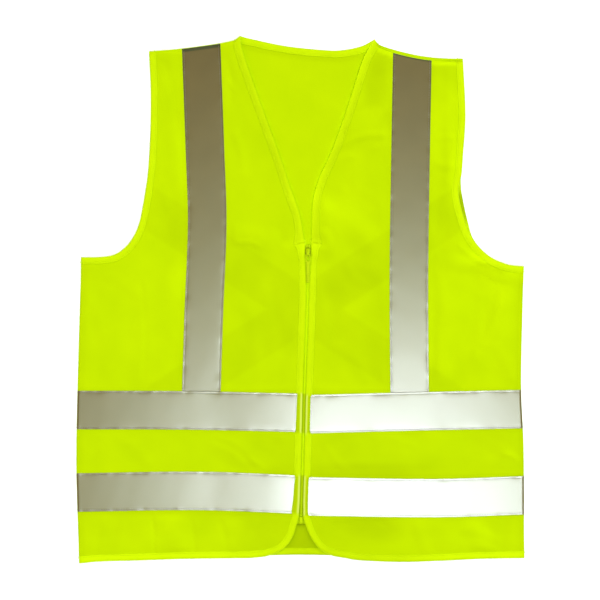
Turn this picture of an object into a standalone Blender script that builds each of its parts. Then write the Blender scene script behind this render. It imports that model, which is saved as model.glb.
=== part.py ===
"""Safety vest with a zip front, laid flat on its back.

Metres, +Z up. +Y points to the collar and +X to the wearer's left. The origin is under the middle of the
vest, on the surface that it lies on. Each cloth piece is a wall made from the points of one triangulated
pattern, so that tapes and bindings follow the panel they are sewn to. The tables are in millimetres.
"""

import math

import bmesh
import bpy
from mathutils import Vector
from mathutils.geometry import delaunay_2d_cdt, intersect_point_line

MM = 0.001

# Walls and seams
CLOTH = 1.0  # wall of every cloth piece
GAP = 0.3  # between neighbouring pieces
LAYER = CLOTH + GAP
BINDING = 9.0  # how far a binding reaches in from the finished edge
TAPE = 50.0  # reflective tape width
FULL_RISE = BINDING + 2.0  # the front is lifted by the bindings under it up to here
RISE_END = BINDING + 26.0  # and lies on the back from here on

# Levels of the undersides
BACK_LEVEL = LAYER
FRONT_LEVEL = 2 * LAYER
BOUND_RISE = 2 * LAYER

# Triangle sizes
FRONT_SPACING = 24.0
BACK_SPACING = 70.0
CURVE_STEP = 17.0
SHOULDER_STEP = 23.0
ZIP_STEP = 19.0
CORNER_STEP = 8.0
STRAIGHT_STEP = 42.0
LONG_STEP = 100.0
SPAN_PARTS = 24  # straight parts of a curve between two of its points
GRID_HALF = 360.0  # the grid of free points reaches this far from the origin
GRID_CLEAR = 0.36  # least distance of a grid point from a line, in spacings
RIDGE_CLEAR = 0.62  # least distance of a grid point from a point on a fold, in spacings
FOLD_POINT_CLEAR = 5.0  # least distance of a point on a fold from a line
FOLD_POINT_GAP = 11.0  # and from the next one
BOUND_CLEAR = 8.0  # least distance of any free point from the full rise beside a bound edge

# Finished edges of the vest, x and y of the points that a smooth curve runs through
EDGES = {
    "side_right": [(-287, -342), (-290, -261), (-291, -196), (-289, -98), (-284.5, 55.3)],
    "armhole_right": [(-284.5, 55.3), (-262, 55.5), (-243.5, 58), (-231, 65), (-219.5, 77.5), (-210, 97),
                      (-204, 125), (-198, 165), (-195, 214), (-194.3, 270), (-196.6, 322)],
    "shoulder_right": [(-196.6, 322), (-148, 327), (-91, 335.5), (-78, 342.5)],
    "neck_right": [(-78, 342.5), (-71.6, 312), (-24.7, 181.6), (-16.4, 155.6), (-7.0, 129.6), (0, 108),
                   (5.4, 74)],
    "corner_right": [(-3.6, -281), (-5.4, -292), (-10, -307), (-22, -323), (-42, -332), (-65, -335)],
    "hem_right": [(-65, -335), (-148, -336), (-208, -338), (-260, -339.5), (-287, -342)],
    "side_left": [(290.3, -335), (289.7, -196), (286.4, -115), (288, -20), (289.7, 43.6)],
    "armhole_left": [(289.7, 43.6), (267, 46.5), (242.2, 58.6), (221.3, 82.7), (210.5, 112), (204.8, 141),
                     (209, 163), (211, 190), (214, 240), (211, 309)],
    "shoulder_left": [(211, 309), (182, 310), (156, 313), (130, 318.5), (104, 326.5), (96, 338)],
    "neck_left": [(96, 338), (81, 311.8), (64.1, 259.7), (46, 207.7), (35, 181.6), (23.4, 155.6),
                  (16.2, 129.6), (14.6, 100), (14.2, 74)],
    "corner_left": [(4.9, -281), (6.4, -291), (12.5, -306.6), (25, -323.5), (40, -331.5), (58, -335)],
    "hem_left": [(58, -335), (78, -338), (130, -340), (182, -338.5), (234, -336), (290.3, -335)],
    "back_armhole_left": [(289.7, 43.6), (267, 46.5), (242.2, 58.6), (224.5, 79), (217.4, 101), (211, 129.5),
                          (208.3, 150), (209, 190), (212, 240), (211, 313)],
    "back_shoulder_left": [(211, 313), (182, 313.9), (156, 316.8), (130, 322.4), (104, 330.5), (96, 338)],
    "back_neck": [(96, 338), (78, 329), (52, 324), (26, 324.6), (-20, 329.6), (-65, 339), (-78, 342.5)],
    "back_hem": [(-287, -341), (-208, -336.5), (-91, -333.5), (0, -331), (91, -333.5), (182, -336.5),
                 (290.3, -334)],
}

# Zip line: y, x of the middle, half the gap between the bound edges
ZIP = [
    {"y": 74, "x": 9.8, "half": 4.4},
    {"y": 50, "x": 9.6, "half": 4.3},
    {"y": 28, "x": 9.4, "half": 3.4},
    {"y": 0, "x": 9.1, "half": 3.3},
    {"y": -131, "x": 4.6, "half": 3.3},
    {"y": -196, "x": 3.2, "half": 3.3},
    {"y": -262, "x": 1.2, "half": 3.4},
    {"y": -281, "x": 0.65, "half": 4.25},
]

# Middle lines of the reflective tapes
BANDS = {
    "band_upper_right": [(-300, -142.9), (-150, -143.4), (20, -147.0)],
    "band_lower_right": [(-300, -250.2), (-130, -248.0), (20, -253.6)],
    "band_upper_left": [(-10, -148.8), (182, -144.0), (300, -141.6)],
    "band_lower_left": [(-10, -254.6), (170, -257.3), (300, -253.2)],
    "back_band_upper": [(-300, -143.0), (300, -143.0)],
    "back_band_lower": [(-300, -252.0), (300, -252.0)],
}
BRACES = {
    "brace_right": [(-129.7, -130), (-125.6, -20), (-121.1, 97), (-124, 195), (-129.5, 345)],
    "brace_left": [(142, -130), (140.7, 0), (141.7, 120), (145.5, 335)],
}
CROSSES = {
    "back_cross_under": [(-175.3, -128.6), (225, 130.8)],
    "back_cross_over": [(185.3, -128.6), (-215, 130.8)],
}
CROSS_RISE_FULL = TAPE / 2 + 2.0  # the upper tape is at its full height up to here from the lower one
CROSS_RISE_END = TAPE / 2 + 22.0
FRONT_RISE_FULL = TAPE / 2 + 5.0  # the fronts and the zip pass over the crossing in a wider hump
FRONT_RISE_END = TAPE / 2 + 41.0
FRONT_RISE = 1.3 * LAYER

# Largest folds of the fronts: the ridge's ends, the whole width and the height
FOLDS = [
    {"name": "beside the zip", "start": (24, 128), "end": (84, 72), "width": 54, "height": 5.0},
    {"name": "left chest", "start": (52, 214), "end": (112, 226), "width": 52, "height": 4.0},
    {"name": "left underarm", "start": (214, 34), "end": (284, 26), "width": 46, "height": 5.0},
    {"name": "left side", "start": (272, 30), "end": (226, -84), "width": 56, "height": 5.5},
    {"name": "left ribs", "start": (60, 20), "end": (112, -96), "width": 60, "height": 3.0},
    {"name": "left waist", "start": (120, -196), "end": (262, -206), "width": 44, "height": 3.0},
    {"name": "left hem", "start": (222, -288), "end": (244, -336), "width": 46, "height": 3.5},
    {"name": "right side", "start": (-208, 46), "end": (-206, -106), "width": 52, "height": 3.5},
    {"name": "right chest", "start": (-92, 96), "end": (-44, 62), "width": 52, "height": 4.5},
    {"name": "right shoulder", "start": (-176, 270), "end": (-158, 150), "width": 50, "height": 3.5},
    {"name": "right waist", "start": (-118, -180), "end": (-24, -210), "width": 46, "height": 4.0},
    {"name": "right hem inner", "start": (-143, -286), "end": (-150, -334), "width": 42, "height": 3.5},
    {"name": "right hem outer", "start": (-196, -284), "end": (-190, -336), "width": 42, "height": 3.0},
]
FOLD_TAPER = 30.0  # a fold dies out over this length past its ends
FOLD_CLEAR = (6.0, 34.0)  # and between these distances from a side or shoulder seam and from the zip
TAPE_STIFF = (TAPE / 2 + 1.0, TAPE / 2 + 16.0)  # a tape flattens folds up to here, and not at all from here
FLATTENED = 0.8  # the share of a fold's height that a tape takes away

# Zip pieces
ZIP_TAPE_WIDTH = 10.5
ZIP_TAPE_TOP = 5.0  # the tapes reach this far above the fronts' join
ZIP_TAPE_BOTTOM = 9.6  # and this far below it
CHAIN_HALF = 2.5
CHAIN_BOTTOM = FRONT_LEVEL + GAP
CHAIN_HEIGHT = 2.2
CHAIN_SHOULDER = 0.9
CHAIN_CROWN = 0.6  # share of the chain's width that is flat on top
CHAIN_UNDER_SLIDER = 1.0  # how far the chain reaches in under the slider's top end
BOX = (4.8, 9.0, 2.8)
STOP = (2.0, 4.0, 2.4)
STOP_OUT = 1.5  # from the middle of the zip to the middle of a stop
SLIDER_Y = 62.0
SLIDER_LENGTH = 10.7
SLIDER_TOP_WIDTH = 7.4
SLIDER_WAIST_WIDTH = 6.6
SLIDER_FOOT_WIDTH = 5.8
SLIDER_CORNER = (1.2, 2.5)  # the plate's cut corners at its top end
SLIDER_PLATE = 1.0
SLIDER_FLANGE = 0.6
FLANGE_BELOW = 2.0  # the flanges reach this far below the slider's middle
FLANGE_TOP = 2.6  # and end this far below its top end
BRIDGE_WIDTH = 2.0
BRIDGE_THICK = 1.0
BRIDGE_CLEAR = 2.5
BRIDGE_SINK = 0.5  # the bridge's feet reach this far into the plate
BRIDGE_FOOT = 0.2  # from the plate's lower end to the bridge's
BRIDGE_BACK = 1.2  # from the plate's top end to the bridge's
BRIDGE_SLOPE = 1.0  # how much the bridge leans in towards its top at the upper end
BRIDGE_CORNER = 0.6
PULL_LENGTH = 37.0
PULL_HEAD = 6.6
PULL_BODY = 4.4
PULL_THICK = 1.1
PULL_LIFT = 0.9  # the pull's underside above the slider's plate
PULL_EYE = 3.4  # width of the eye that the bridge passes through
PULL_EYE_LENGTH = 9.0
PULL_NECK = 3.0  # length over which the head narrows to the body
PULL_WEB = 1.4  # from the eye to the neck
PULL_END_PARTS = 6
CUT_THROUGH = 1.0  # how far a cutter stands out of what it cuts

COLOURS = {
    "cloth": {"colour": (0.57, 0.81, 0.01), "roughness": 0.85, "metallic": 0.0},
    "binding": {"colour": (0.64, 0.88, 0.02), "roughness": 0.8, "metallic": 0.0},
    "tape": {"colour": (0.55, 0.55, 0.50), "roughness": 0.45, "metallic": 0.2},
    "zip": {"colour": (0.50, 0.74, 0.01), "roughness": 0.6, "metallic": 0.0},
    "paint": {"colour": (0.52, 0.72, 0.03), "roughness": 0.35, "metallic": 0.1},
}


# ---------------------------------------------------------------- plane geometry


def smooth(points, step):
    """Points about one step apart on a Catmull-Rom curve through the given ones."""
    knots = [Vector(point) for point in points]
    knots = [2 * knots[0] - knots[1]] + knots + [2 * knots[-1] - knots[-2]]
    fine = []
    for before, start, end, after in zip(knots, knots[1:], knots[2:], knots[3:]):
        for part in range(SPAN_PARTS):
            t = part / SPAN_PARTS
            bend = (2 * before - 5 * start + 4 * end - after) * t * t
            twist = (3 * start - before - 3 * end + after) * t ** 3
            fine.append(0.5 * (2 * start + (end - before) * t + bend + twist))
    fine.append(knots[-2])
    return resample(fine, step)


def resample(line, step):
    """The same line with its points an even step apart, its ends kept."""
    lengths = [0.0]
    for start, end in zip(line, line[1:]):
        lengths.append(lengths[-1] + (end - start).length)
    count = max(1, round(lengths[-1] / step))
    points = [line[0].copy()]
    index = 0
    for number in range(1, count):
        target = lengths[-1] * number / count
        while lengths[index + 1] < target:
            index += 1
        t = (target - lengths[index]) / (lengths[index + 1] - lengths[index])
        points.append(line[index].lerp(line[index + 1], t))
    points.append(line[-1].copy())
    return points


def offset(line, distance, winding, before, after):
    """The line moved inward; its ends slide along the edges that meet it there."""
    moved = []
    for index, point in enumerate(line):
        arriving = (point - line[max(index - 1, 0)]).normalized()
        leaving = (line[min(index + 1, len(line) - 1)] - point).normalized()
        if index == 0:
            moved.append(point + before * distance / max(0.4, abs(leaving.cross(before))))
        elif index == len(line) - 1:
            moved.append(point + after * distance / max(0.4, abs(arriving.cross(after))))
        else:
            tangent = (arriving + leaving).normalized()
            reach = distance / max(0.5, tangent.dot(leaving))
            moved.append(point + Vector((-tangent.y, tangent.x)) * reach * winding)
    return moved


def nearest(point, line):
    """Distance to a line, with the segment and the place on it that are nearest."""
    best = (math.inf, 0, 0.0)
    for index, (start, end) in enumerate(zip(line, line[1:])):
        t = intersect_point_line(point, start, end)[1]
        t = min(1.0, max(0.0, t))
        length = (point - start.lerp(end, t)).length
        if length < best[0]:
            best = (length, index, t)
    return best


def distance_to(point, line):
    return nearest(point, line)[0]


def carried(point, line, other):
    """The point on the other line that belongs to a point on this one."""
    index, t = nearest(point, line)[1:]
    return other[index].lerp(other[index + 1], t)


def inside(point, loop):
    """Whether a point is within a closed loop."""
    crossings = False
    for start, end in zip(loop, loop[1:] + loop[:1]):
        if (start.y > point.y) != (end.y > point.y):
            if point.x < start.x + (point.y - start.y) * (end.x - start.x) / (end.y - start.y):
                crossings = not crossings
    return crossings


def ramp(value, full, end):
    """1 up to full, falling smoothly to 0 at end."""
    t = min(1.0, max(0.0, (end - value) / (end - full)))
    return t * t * (3 - 2 * t)


def row_value(rows, y, column):
    """A column of a table whose rows run down in y, read at any y."""
    for upper, lower in zip(rows, rows[1:]):
        if y >= lower["y"]:
            break
    t = (y - lower["y"]) / (upper["y"] - lower["y"])
    return lower[column] + t * (upper[column] - lower[column])


# ---------------------------------------------------------------- patterns


class Pattern:
    """One panel's triangulated plan: finished edges, seams and the lines of all that is sewn to it."""

    def __init__(self, edges, lines, spacing, level, folds=()):
        self.level = level
        self.bound = {}
        self.seams = {}
        corners = [line[0] for name, line, is_bound in edges]
        area = sum(a.cross(b) for a, b in zip(corners, corners[1:] + corners[:1]))
        self.winding = 1 if area > 0 else -1
        outline = []
        for number, (name, line, is_bound) in enumerate(edges):
            previous = edges[number - 1][1]
            following = edges[(number + 1) % len(edges)][1]
            if is_bound:
                before = (previous[-2] - previous[-1]).normalized()
                after = (following[1] - following[0]).normalized()
                moved = [offset(line, reach, self.winding, before, after)
                         for reach in (0.0, CLOTH, LAYER, BINDING)]
                self.bound[name] = dict(zip(("out", "inner", "cut", "in"), moved))
            else:
                self.seams[name] = line
        for number, (name, line, is_bound) in enumerate(edges):
            if is_bound:
                outline += self.bound[name]["cut"]
                continue
            first = self.bound[edges[number - 1][0]]
            last = self.bound[edges[(number + 1) % len(edges)][0]]
            outline.append(first["in"][-1])
            reach = [(line[0] - first["in"][-1]).length + 6, (line[-1] - last["in"][0]).length + 6]
            outline += [point for point in line[1:-1]
                        if (point - line[0]).length > reach[0] and (point - line[-1]).length > reach[1]]
            outline.append(last["in"][0])
        self.outline = outline
        lines = list(lines) + [bound["in"] for bound in self.bound.values()]
        self.triangulate(lines, spacing, folds)

    def triangulate(self, lines, spacing, folds):
        points = list(self.outline)
        edges = [(index, (index + 1) % len(points)) for index in range(len(points))]
        for line in lines:
            first = len(points)
            points += line
            edges += [(first + index, first + index + 1) for index in range(len(line) - 1)]
        fixed = [self.outline + self.outline[:1]] + lines
        bound = [part["out"] for part in self.bound.values()]

        def is_free(point, clearance):
            if not inside(point, self.outline):
                return False
            if any(distance_to(point, line) < clearance for line in fixed):
                return False
            return all(distance_to(point, line) > FULL_RISE + BOUND_CLEAR for line in bound)

        extra = []
        for fold in folds:
            start, end = Vector(fold["start"]), Vector(fold["end"])
            across = (end - start).normalized().orthogonal() * fold["width"] / 2
            count = max(2, round((end - start).length / spacing))
            for side in (0.0, 0.5, -0.5):
                for number in range(count + 1):
                    extra.append(start.lerp(end, number / count) + across * side)
        ridge_points = []
        for point in extra:
            if is_free(point, FOLD_POINT_CLEAR):
                if all((point - other).length > FOLD_POINT_GAP for other in ridge_points):
                    ridge_points.append(point)
        row_height = spacing * math.sqrt(3) / 2
        rows = int(GRID_HALF / row_height)
        columns = int(GRID_HALF / spacing)
        grid_points = []
        for row in range(-rows, rows + 1):
            for column in range(-columns, columns + 1):
                point = Vector(((column + 0.5 * (row % 2)) * spacing, row * row_height))
                if is_free(point, spacing * GRID_CLEAR):
                    if all((point - other).length > spacing * RIDGE_CLEAR for other in ridge_points):
                        grid_points.append(point)
        points += ridge_points + grid_points
        vertices, _, faces = delaunay_2d_cdt(points, edges, [], 0, 0.02)[:3]
        self.points = [Vector(point) for point in vertices]
        self.triangles = []
        for face in faces:
            a, b, c = (self.points[index] for index in face)
            if inside((a + b + c) / 3, self.outline):
                is_left = (b - a).cross(c - a) > 0
                self.triangles.append(tuple(face) if is_left else tuple(reversed(face)))
        self.heights = [self.level(point) for point in self.points]

    def centre(self, triangle):
        return sum((self.points[index] for index in triangle), Vector((0, 0))) / 3

    def in_binding(self, point):
        return any(inside(point, bound["cut"] + bound["in"][::-1]) for bound in self.bound.values())

    def region(self, test):
        return [triangle for triangle in self.triangles if test(self.centre(triangle))]


def rim(triangles):
    """The directed edges that bound a set of triangles."""
    edges = set()
    for a, b, c in triangles:
        for edge in ((a, b), (b, c), (c, a)):
            if edge[::-1] in edges:
                edges.remove(edge[::-1])
            else:
                edges.add(edge)
    return sorted(edges)


def drawn_in(pattern, triangles, reach):
    """The plan points of a piece, its rim moved inward by the reach."""
    places = {index: pattern.points[index].copy() for triangle in triangles for index in triangle}
    normals = {}
    for a, b in rim(triangles):
        along = (pattern.points[b] - pattern.points[a]).normalized()
        for index in (a, b):
            normals.setdefault(index, []).append(Vector((-along.y, along.x)))
    for index, pair in normals.items():
        mean = sum(pair, Vector((0, 0))).normalized()
        places[index] += mean * reach / max(0.5, mean.dot(pair[0]))
    return places


# ---------------------------------------------------------------- solids


def material(kind):
    if kind not in bpy.data.materials:
        made = bpy.data.materials.new(kind)
        made.use_nodes = True
        shader = made.node_tree.nodes["Principled BSDF"]
        values = COLOURS[kind]
        shader.inputs["Base Color"].default_value = (*values["colour"], 1.0)
        shader.inputs["Roughness"].default_value = values["roughness"]
        shader.inputs["Metallic"].default_value = values["metallic"]
        made.diffuse_color = (*values["colour"], 1.0)
    return bpy.data.materials[kind]


def add_object(name, vertices, faces, kind, origin=(0, 0, 0)):
    """A mesh object from points in millimetres, with its origin where given."""
    mesh = bpy.data.meshes.new(name)
    start = Vector(origin)
    mesh.from_pydata([(Vector(vertex) - start) * MM for vertex in vertices], [], faces)
    mesh.materials.append(material(kind))
    made = bpy.data.objects.new(name, mesh)
    made.location = start * MM
    bpy.context.scene.collection.objects.link(made)
    return made


def add_wall(name, pattern, triangles, lift, kind, inset=0.0):
    """A wall of cloth over some of a pattern's triangles, its underside lifted above the panel's."""
    places = drawn_in(pattern, triangles, inset)
    order = sorted(places)
    number = {index: place for place, index in enumerate(order)}
    vertices = []
    for rise in (lift, lift + CLOTH):
        vertices += [(*places[index], pattern.heights[index] + rise) for index in order]
    top = len(order)
    faces = []
    for a, b, c in triangles:
        faces.append((number[a] + top, number[b] + top, number[c] + top))
        faces.append((number[c], number[b], number[a]))
    for a, b in rim(triangles):
        faces.append((number[a], number[b], number[b] + top))
        faces.append((number[a], number[b] + top, number[a] + top))
    return add_object(name, vertices, faces, kind)


def add_binding(name, pattern, edge, stations=(0, None)):
    """A strip folded round a panel's raw edge: a leaf above, a leaf below and the fold between them."""
    lines = {key: line[stations[0]:stations[1]] for key, line in pattern.bound[edge].items()}
    loop = lines["cut"] + lines["in"][::-1]
    triangles = pattern.region(lambda point: inside(point, loop))
    places = drawn_in(pattern, triangles, GAP / 2)
    on_cut = {index for index in places if distance_to(pattern.points[index], lines["cut"]) < 0.01}
    outer = dict(places)
    inner = dict(places)
    for index in on_cut:
        slide = places[index] - pattern.points[index]
        line_place = nearest(pattern.points[index], lines["cut"])[1:]
        is_end = line_place in ((0, 0.0), (len(lines["cut"]) - 2, 1.0))
        along = (lines["cut"][line_place[0] + 1] - lines["cut"][line_place[0]]).normalized()
        trim = along * slide.dot(along) if is_end else Vector((0, 0))
        outer[index] = carried(pattern.points[index], lines["cut"], lines["out"]) + trim
        inner[index] = carried(pattern.points[index], lines["cut"], lines["inner"]) + trim
    order = sorted(places)
    number = {index: place for place, index in enumerate(order)}
    sheets = ((outer, -LAYER), (inner, -GAP), (inner, LAYER), (outer, LAYER + CLOTH))
    vertices = []
    for plan, rise in sheets:
        vertices += [(*plan[index], pattern.heights[index] + rise) for index in order]

    def at(sheet, index):
        return number[index] + sheet * len(order)

    faces = []
    for a, b, c in triangles:
        for sheet in (3, 1):
            faces.append((at(sheet, a), at(sheet, b), at(sheet, c)))
        for sheet in (2, 0):
            faces.append((at(sheet, c), at(sheet, b), at(sheet, a)))
    edges = rim(triangles)
    fold = [pair for pair in edges if pair[0] in on_cut and pair[1] in on_cut]
    for a, b in edges:
        if (a, b) in fold:
            faces += [(at(0, a), at(0, b), at(3, b)), (at(0, a), at(3, b), at(3, a))]
            faces += [(at(1, b), at(1, a), at(2, a)), (at(1, b), at(2, a), at(2, b))]
        else:
            faces += [(at(2, a), at(2, b), at(3, b)), (at(2, a), at(3, b), at(3, a))]
            faces += [(at(0, a), at(0, b), at(1, b)), (at(0, a), at(1, b), at(1, a))]
    starts = {a for a, b in fold}
    ends = {b for a, b in fold}
    for index in starts - ends:
        faces += [(at(0, index), at(3, index), at(2, index)), (at(0, index), at(2, index), at(1, index))]
    for index in ends - starts:
        faces += [(at(0, index), at(2, index), at(3, index)), (at(0, index), at(1, index), at(2, index))]
    return add_object(name, vertices, faces, "binding")


def add_loft(name, sections, kind, origin=(0, 0, 0)):
    """A closed solid through sections of the same number of points, each turning the same way."""
    count = len(sections[0])
    vertices = [point for section in sections for point in section]
    faces = [tuple(reversed(range(count))), tuple(range(len(vertices) - count, len(vertices)))]
    for number in range(len(sections) - 1):
        for index in range(count):
            a = number * count + index
            b = number * count + (index + 1) % count
            faces.append((a, b, b + count, a + count))
    made = add_object(name, vertices, faces, kind, origin)
    editable = bmesh.new()
    editable.from_mesh(made.data)
    bmesh.ops.triangulate(editable, faces=editable.faces)
    bmesh.ops.recalc_face_normals(editable, faces=editable.faces)
    editable.to_mesh(made.data)
    editable.free()
    return made


def box_sections(low, high):
    """Two square sections between a low and a high corner."""
    loop = ((low[0], low[1]), (high[0], low[1]), (high[0], high[1]), (low[0], high[1]))
    return [[(x, y, z) for x, y in loop] for z in (low[2], high[2])]


def join_with(base, other):
    """One closed solid from two that overlap, by a Boolean union."""
    modifier = base.modifiers.new("union", "BOOLEAN")
    modifier.operation = "UNION"
    modifier.object = other
    other.hide_render = True
    other.display_type = "WIRE"
    return modifier


# ---------------------------------------------------------------- the vest's own shapes


def edge(name, step):
    return smooth(EDGES[name], step)


def zip_edge(side):
    """The bound edge of a front along the zip, from the top down."""
    return [Vector((zip_middle(y) + side * row_value(ZIP, y, "half"), y)) for y in zip_rows()]


def zip_middle(y):
    return row_value(ZIP, y, "x")


def zip_rows():
    """Places along the zip, from the top down, that its pieces and the fronts' edges share."""
    top, bottom = ZIP[0]["y"], ZIP[-1]["y"]
    count = round((top - bottom) / ZIP_STEP)
    return [top + (bottom - top) * number / count for number in range(count + 1)]


def opening(side_name, side):
    """Neck, zip edge, rounded corner and hem of one front, and the station where the neck ends."""
    neck = edge("neck_" + side_name, CURVE_STEP)
    zip_line = zip_edge(side)
    corner = edge("corner_" + side_name, CORNER_STEP)
    hem = edge("hem_" + side_name, SHOULDER_STEP)
    neck[-1] = zip_line[0]
    corner[0] = zip_line[-1]
    return neck + zip_line[1:] + corner[1:] + hem[1:], len(neck)


def tape_edges(middle, step=STRAIGHT_STEP):
    """The two long edges of a tape along its middle line."""
    line = smooth(middle, step)
    sides = []
    for side in (-1, 1):
        points = []
        for index, point in enumerate(line):
            along = (line[min(index + 1, len(line) - 1)] - line[max(index - 1, 0)]).normalized()
            points.append(point + Vector((-along.y, along.x)) * side * TAPE / 2)
        sides.append(points)
    return sides


def tape_loop(middle):
    below, above = tape_edges(middle)
    return below + above[::-1]


def cross_rise(point, full, end):
    """How much the crossing of the two back tapes lifts what lies over it, from 0 to 1."""
    distances = [distance_to(point, [Vector(corner) for corner in CROSSES[name]]) for name in CROSSES]
    return math.prod(ramp(distance, full, end) for distance in distances)


def back_height(point):
    return BACK_LEVEL + LAYER * cross_rise(point, CROSS_RISE_FULL, CROSS_RISE_END)


def hump(x, y):
    """How far the crossing lifts a front or a zip piece."""
    return FRONT_RISE * cross_rise(Vector((x, y)), FRONT_RISE_FULL, FRONT_RISE_END)


def fold_height(point, fold):
    start, end = Vector(fold["start"]), Vector(fold["end"])
    along = (end - start).normalized()
    run = (point - start).dot(along)
    past = max(0.0, -run, run - (end - start).length)
    across = abs((point - start).cross(along))
    return fold["height"] * ramp(past, 0, FOLD_TAPER) * ramp(across, 0, fold["width"] / 2)


def front_height(bound_lines, seam_lines, tape_lines):
    """The height of a front's underside: on the back, over the bindings below it, and over its folds."""

    def height(point):
        reach = min(distance_to(point, line) for line in bound_lines)
        clear = min(distance_to(point, line) for line in seam_lines)
        lift = BOUND_RISE * ramp(reach, FULL_RISE, RISE_END) + hump(point.x, point.y)
        folds = max(fold_height(point, fold) for fold in FOLDS) * (1 - ramp(clear, *FOLD_CLEAR))
        stiff = max(ramp(distance_to(point, line), *TAPE_STIFF) for line in tape_lines)
        return FRONT_LEVEL + lift + folds * (1 - FLATTENED * stiff)

    return height


def front_pattern(side_name, side):
    side_line = edge("side_" + side_name, STRAIGHT_STEP)
    armhole = edge("armhole_" + side_name, CURVE_STEP)
    shoulder = edge("shoulder_" + side_name, SHOULDER_STEP)
    opening_line, neck_stations = opening(side_name, side)
    edges = [("side", side_line, False), ("armhole", armhole, True),
             ("shoulder", shoulder, False), ("opening", opening_line, True)]
    middles = [BANDS[f"band_{level}_{side_name}"] for level in ("upper", "lower")]
    middles.append(BRACES[f"brace_{side_name}"])
    lines = []
    for middle in middles:
        lines += tape_edges(middle)
    folds = [fold for fold in FOLDS if fold["start"][0] * side > 0]
    tape_lines = [smooth(middle, STRAIGHT_STEP) for middle in middles]
    level = front_height([armhole, opening_line], [side_line, shoulder, zip_edge(side)], tape_lines)
    pattern = Pattern(edges, lines, FRONT_SPACING, level, folds)
    return pattern, neck_stations


def back_pattern():
    edges = [("side_right", edge("side_right", STRAIGHT_STEP), False),
             ("armhole_right", edge("armhole_right", CURVE_STEP), True),
             ("shoulder_right", edge("shoulder_right", SHOULDER_STEP), False),
             ("neck", edge("back_neck", CURVE_STEP)[::-1], True),
             ("shoulder_left", edge("back_shoulder_left", SHOULDER_STEP)[::-1], False),
             ("armhole_left", edge("back_armhole_left", CURVE_STEP)[::-1], True),
             ("side_left", edge("side_left", STRAIGHT_STEP)[::-1], False),
             ("hem", edge("back_hem", STRAIGHT_STEP)[::-1], True)]
    lines = []
    for middle in (BANDS["back_band_upper"], BANDS["back_band_lower"], *CROSSES.values()):
        lines += tape_edges(middle, LONG_STEP)
    lines += crossing_lines()
    return Pattern(edges, lines, BACK_SPACING, back_height)


def crossing_lines():
    """Lines beside both back tapes, where what lies on the lower one starts and ends its rise."""
    ends = [[Vector(end) for end in CROSSES[name]] for name in ("back_cross_under", "back_cross_over")]
    ways = [(end - start).normalized() for start, end in ends]
    to_meeting = (ends[1][0] - ends[0][0]).cross(ways[1]) / ways[0].cross(ways[1])
    meeting = ends[0][0] + ways[0] * to_meeting
    reach = CROSS_RISE_END / abs(ways[0].cross(ways[1]))
    lines = []
    for along, other in (ways, ways[::-1]):
        for distance in (CROSS_RISE_FULL, CROSS_RISE_END):
            for side in (-1, 1):
                centre = meeting + other * side * distance / abs(along.cross(other))
                lines.append([centre - along * reach, centre + along * reach])
    return lines


def add_fronts():
    for side_name, side in (("right", -1), ("left", 1)):
        pattern, neck_stations = front_pattern(side_name, side)
        add_wall("front_" + side_name, pattern, pattern.triangles, 0.0, "cloth")
        add_binding("binding_armhole_front_" + side_name, pattern, "armhole")
        add_binding("binding_neck_" + side_name, pattern, "opening", (0, neck_stations))
        add_binding("binding_front_" + side_name, pattern, "opening", (neck_stations - 1, None))
        for name in (f"band_upper_{side_name}", f"band_lower_{side_name}"):
            loop = tape_loop(BANDS[name])
            triangles = pattern.region(lambda point: inside(point, loop) and not pattern.in_binding(point))
            add_wall(name, pattern, triangles, LAYER, "tape", GAP / 2)
        loop = tape_loop(BRACES[f"brace_{side_name}"])
        band_top = tape_edges(BANDS[f"band_upper_{side_name}"])[1]
        chest = band_top + [Vector((band_top[-1].x, GRID_HALF)), Vector((band_top[0].x, GRID_HALF))]
        triangles = pattern.region(lambda point: inside(point, loop) and inside(point, chest)
                                   and not pattern.in_binding(point))
        add_wall(f"brace_{side_name}", pattern, triangles, LAYER, "tape", GAP / 2)


def add_back():
    pattern = back_pattern()
    add_wall("back_panel", pattern, pattern.triangles, 0.0, "cloth")
    add_binding("binding_armhole_back_right", pattern, "armhole_right")
    add_binding("binding_armhole_back_left", pattern, "armhole_left")
    add_binding("binding_neck_back", pattern, "neck")
    add_binding("binding_hem_back", pattern, "hem")
    band_top = BANDS["back_band_upper"][0][1] + TAPE / 2
    under = tape_loop(CROSSES["back_cross_under"])
    for name in ("back_band_upper", "back_band_lower"):
        loop = tape_loop(BANDS[name])
        triangles = pattern.region(lambda point: inside(point, loop))
        add_wall(name, pattern, triangles, -LAYER, "tape", GAP / 2)
    over = tape_loop(CROSSES["back_cross_over"])
    triangles = pattern.region(lambda point: inside(point, over) and point.y > band_top
                               and not pattern.in_binding(point))
    add_wall("back_cross_over", pattern, triangles, -LAYER, "tape", GAP / 2)
    triangles = pattern.region(lambda point: inside(point, under) and point.y > band_top
                               and not pattern.in_binding(point))
    heights = pattern.heights
    pattern.heights = [BACK_LEVEL] * len(heights)
    add_wall("back_cross_under", pattern, triangles, -LAYER, "tape", GAP / 2)


def add_zip_strip(name, rows, profile, kind):
    """A strip along the zip with one cross-section, over the hump of the crossing."""
    sections = []
    for y in rows:
        x = zip_middle(min(y, ZIP[0]["y"]))
        sections.append([(x + across, y, z + hump(x + across, y)) for across, z in profile])
    add_loft(name, sections, kind)


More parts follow.
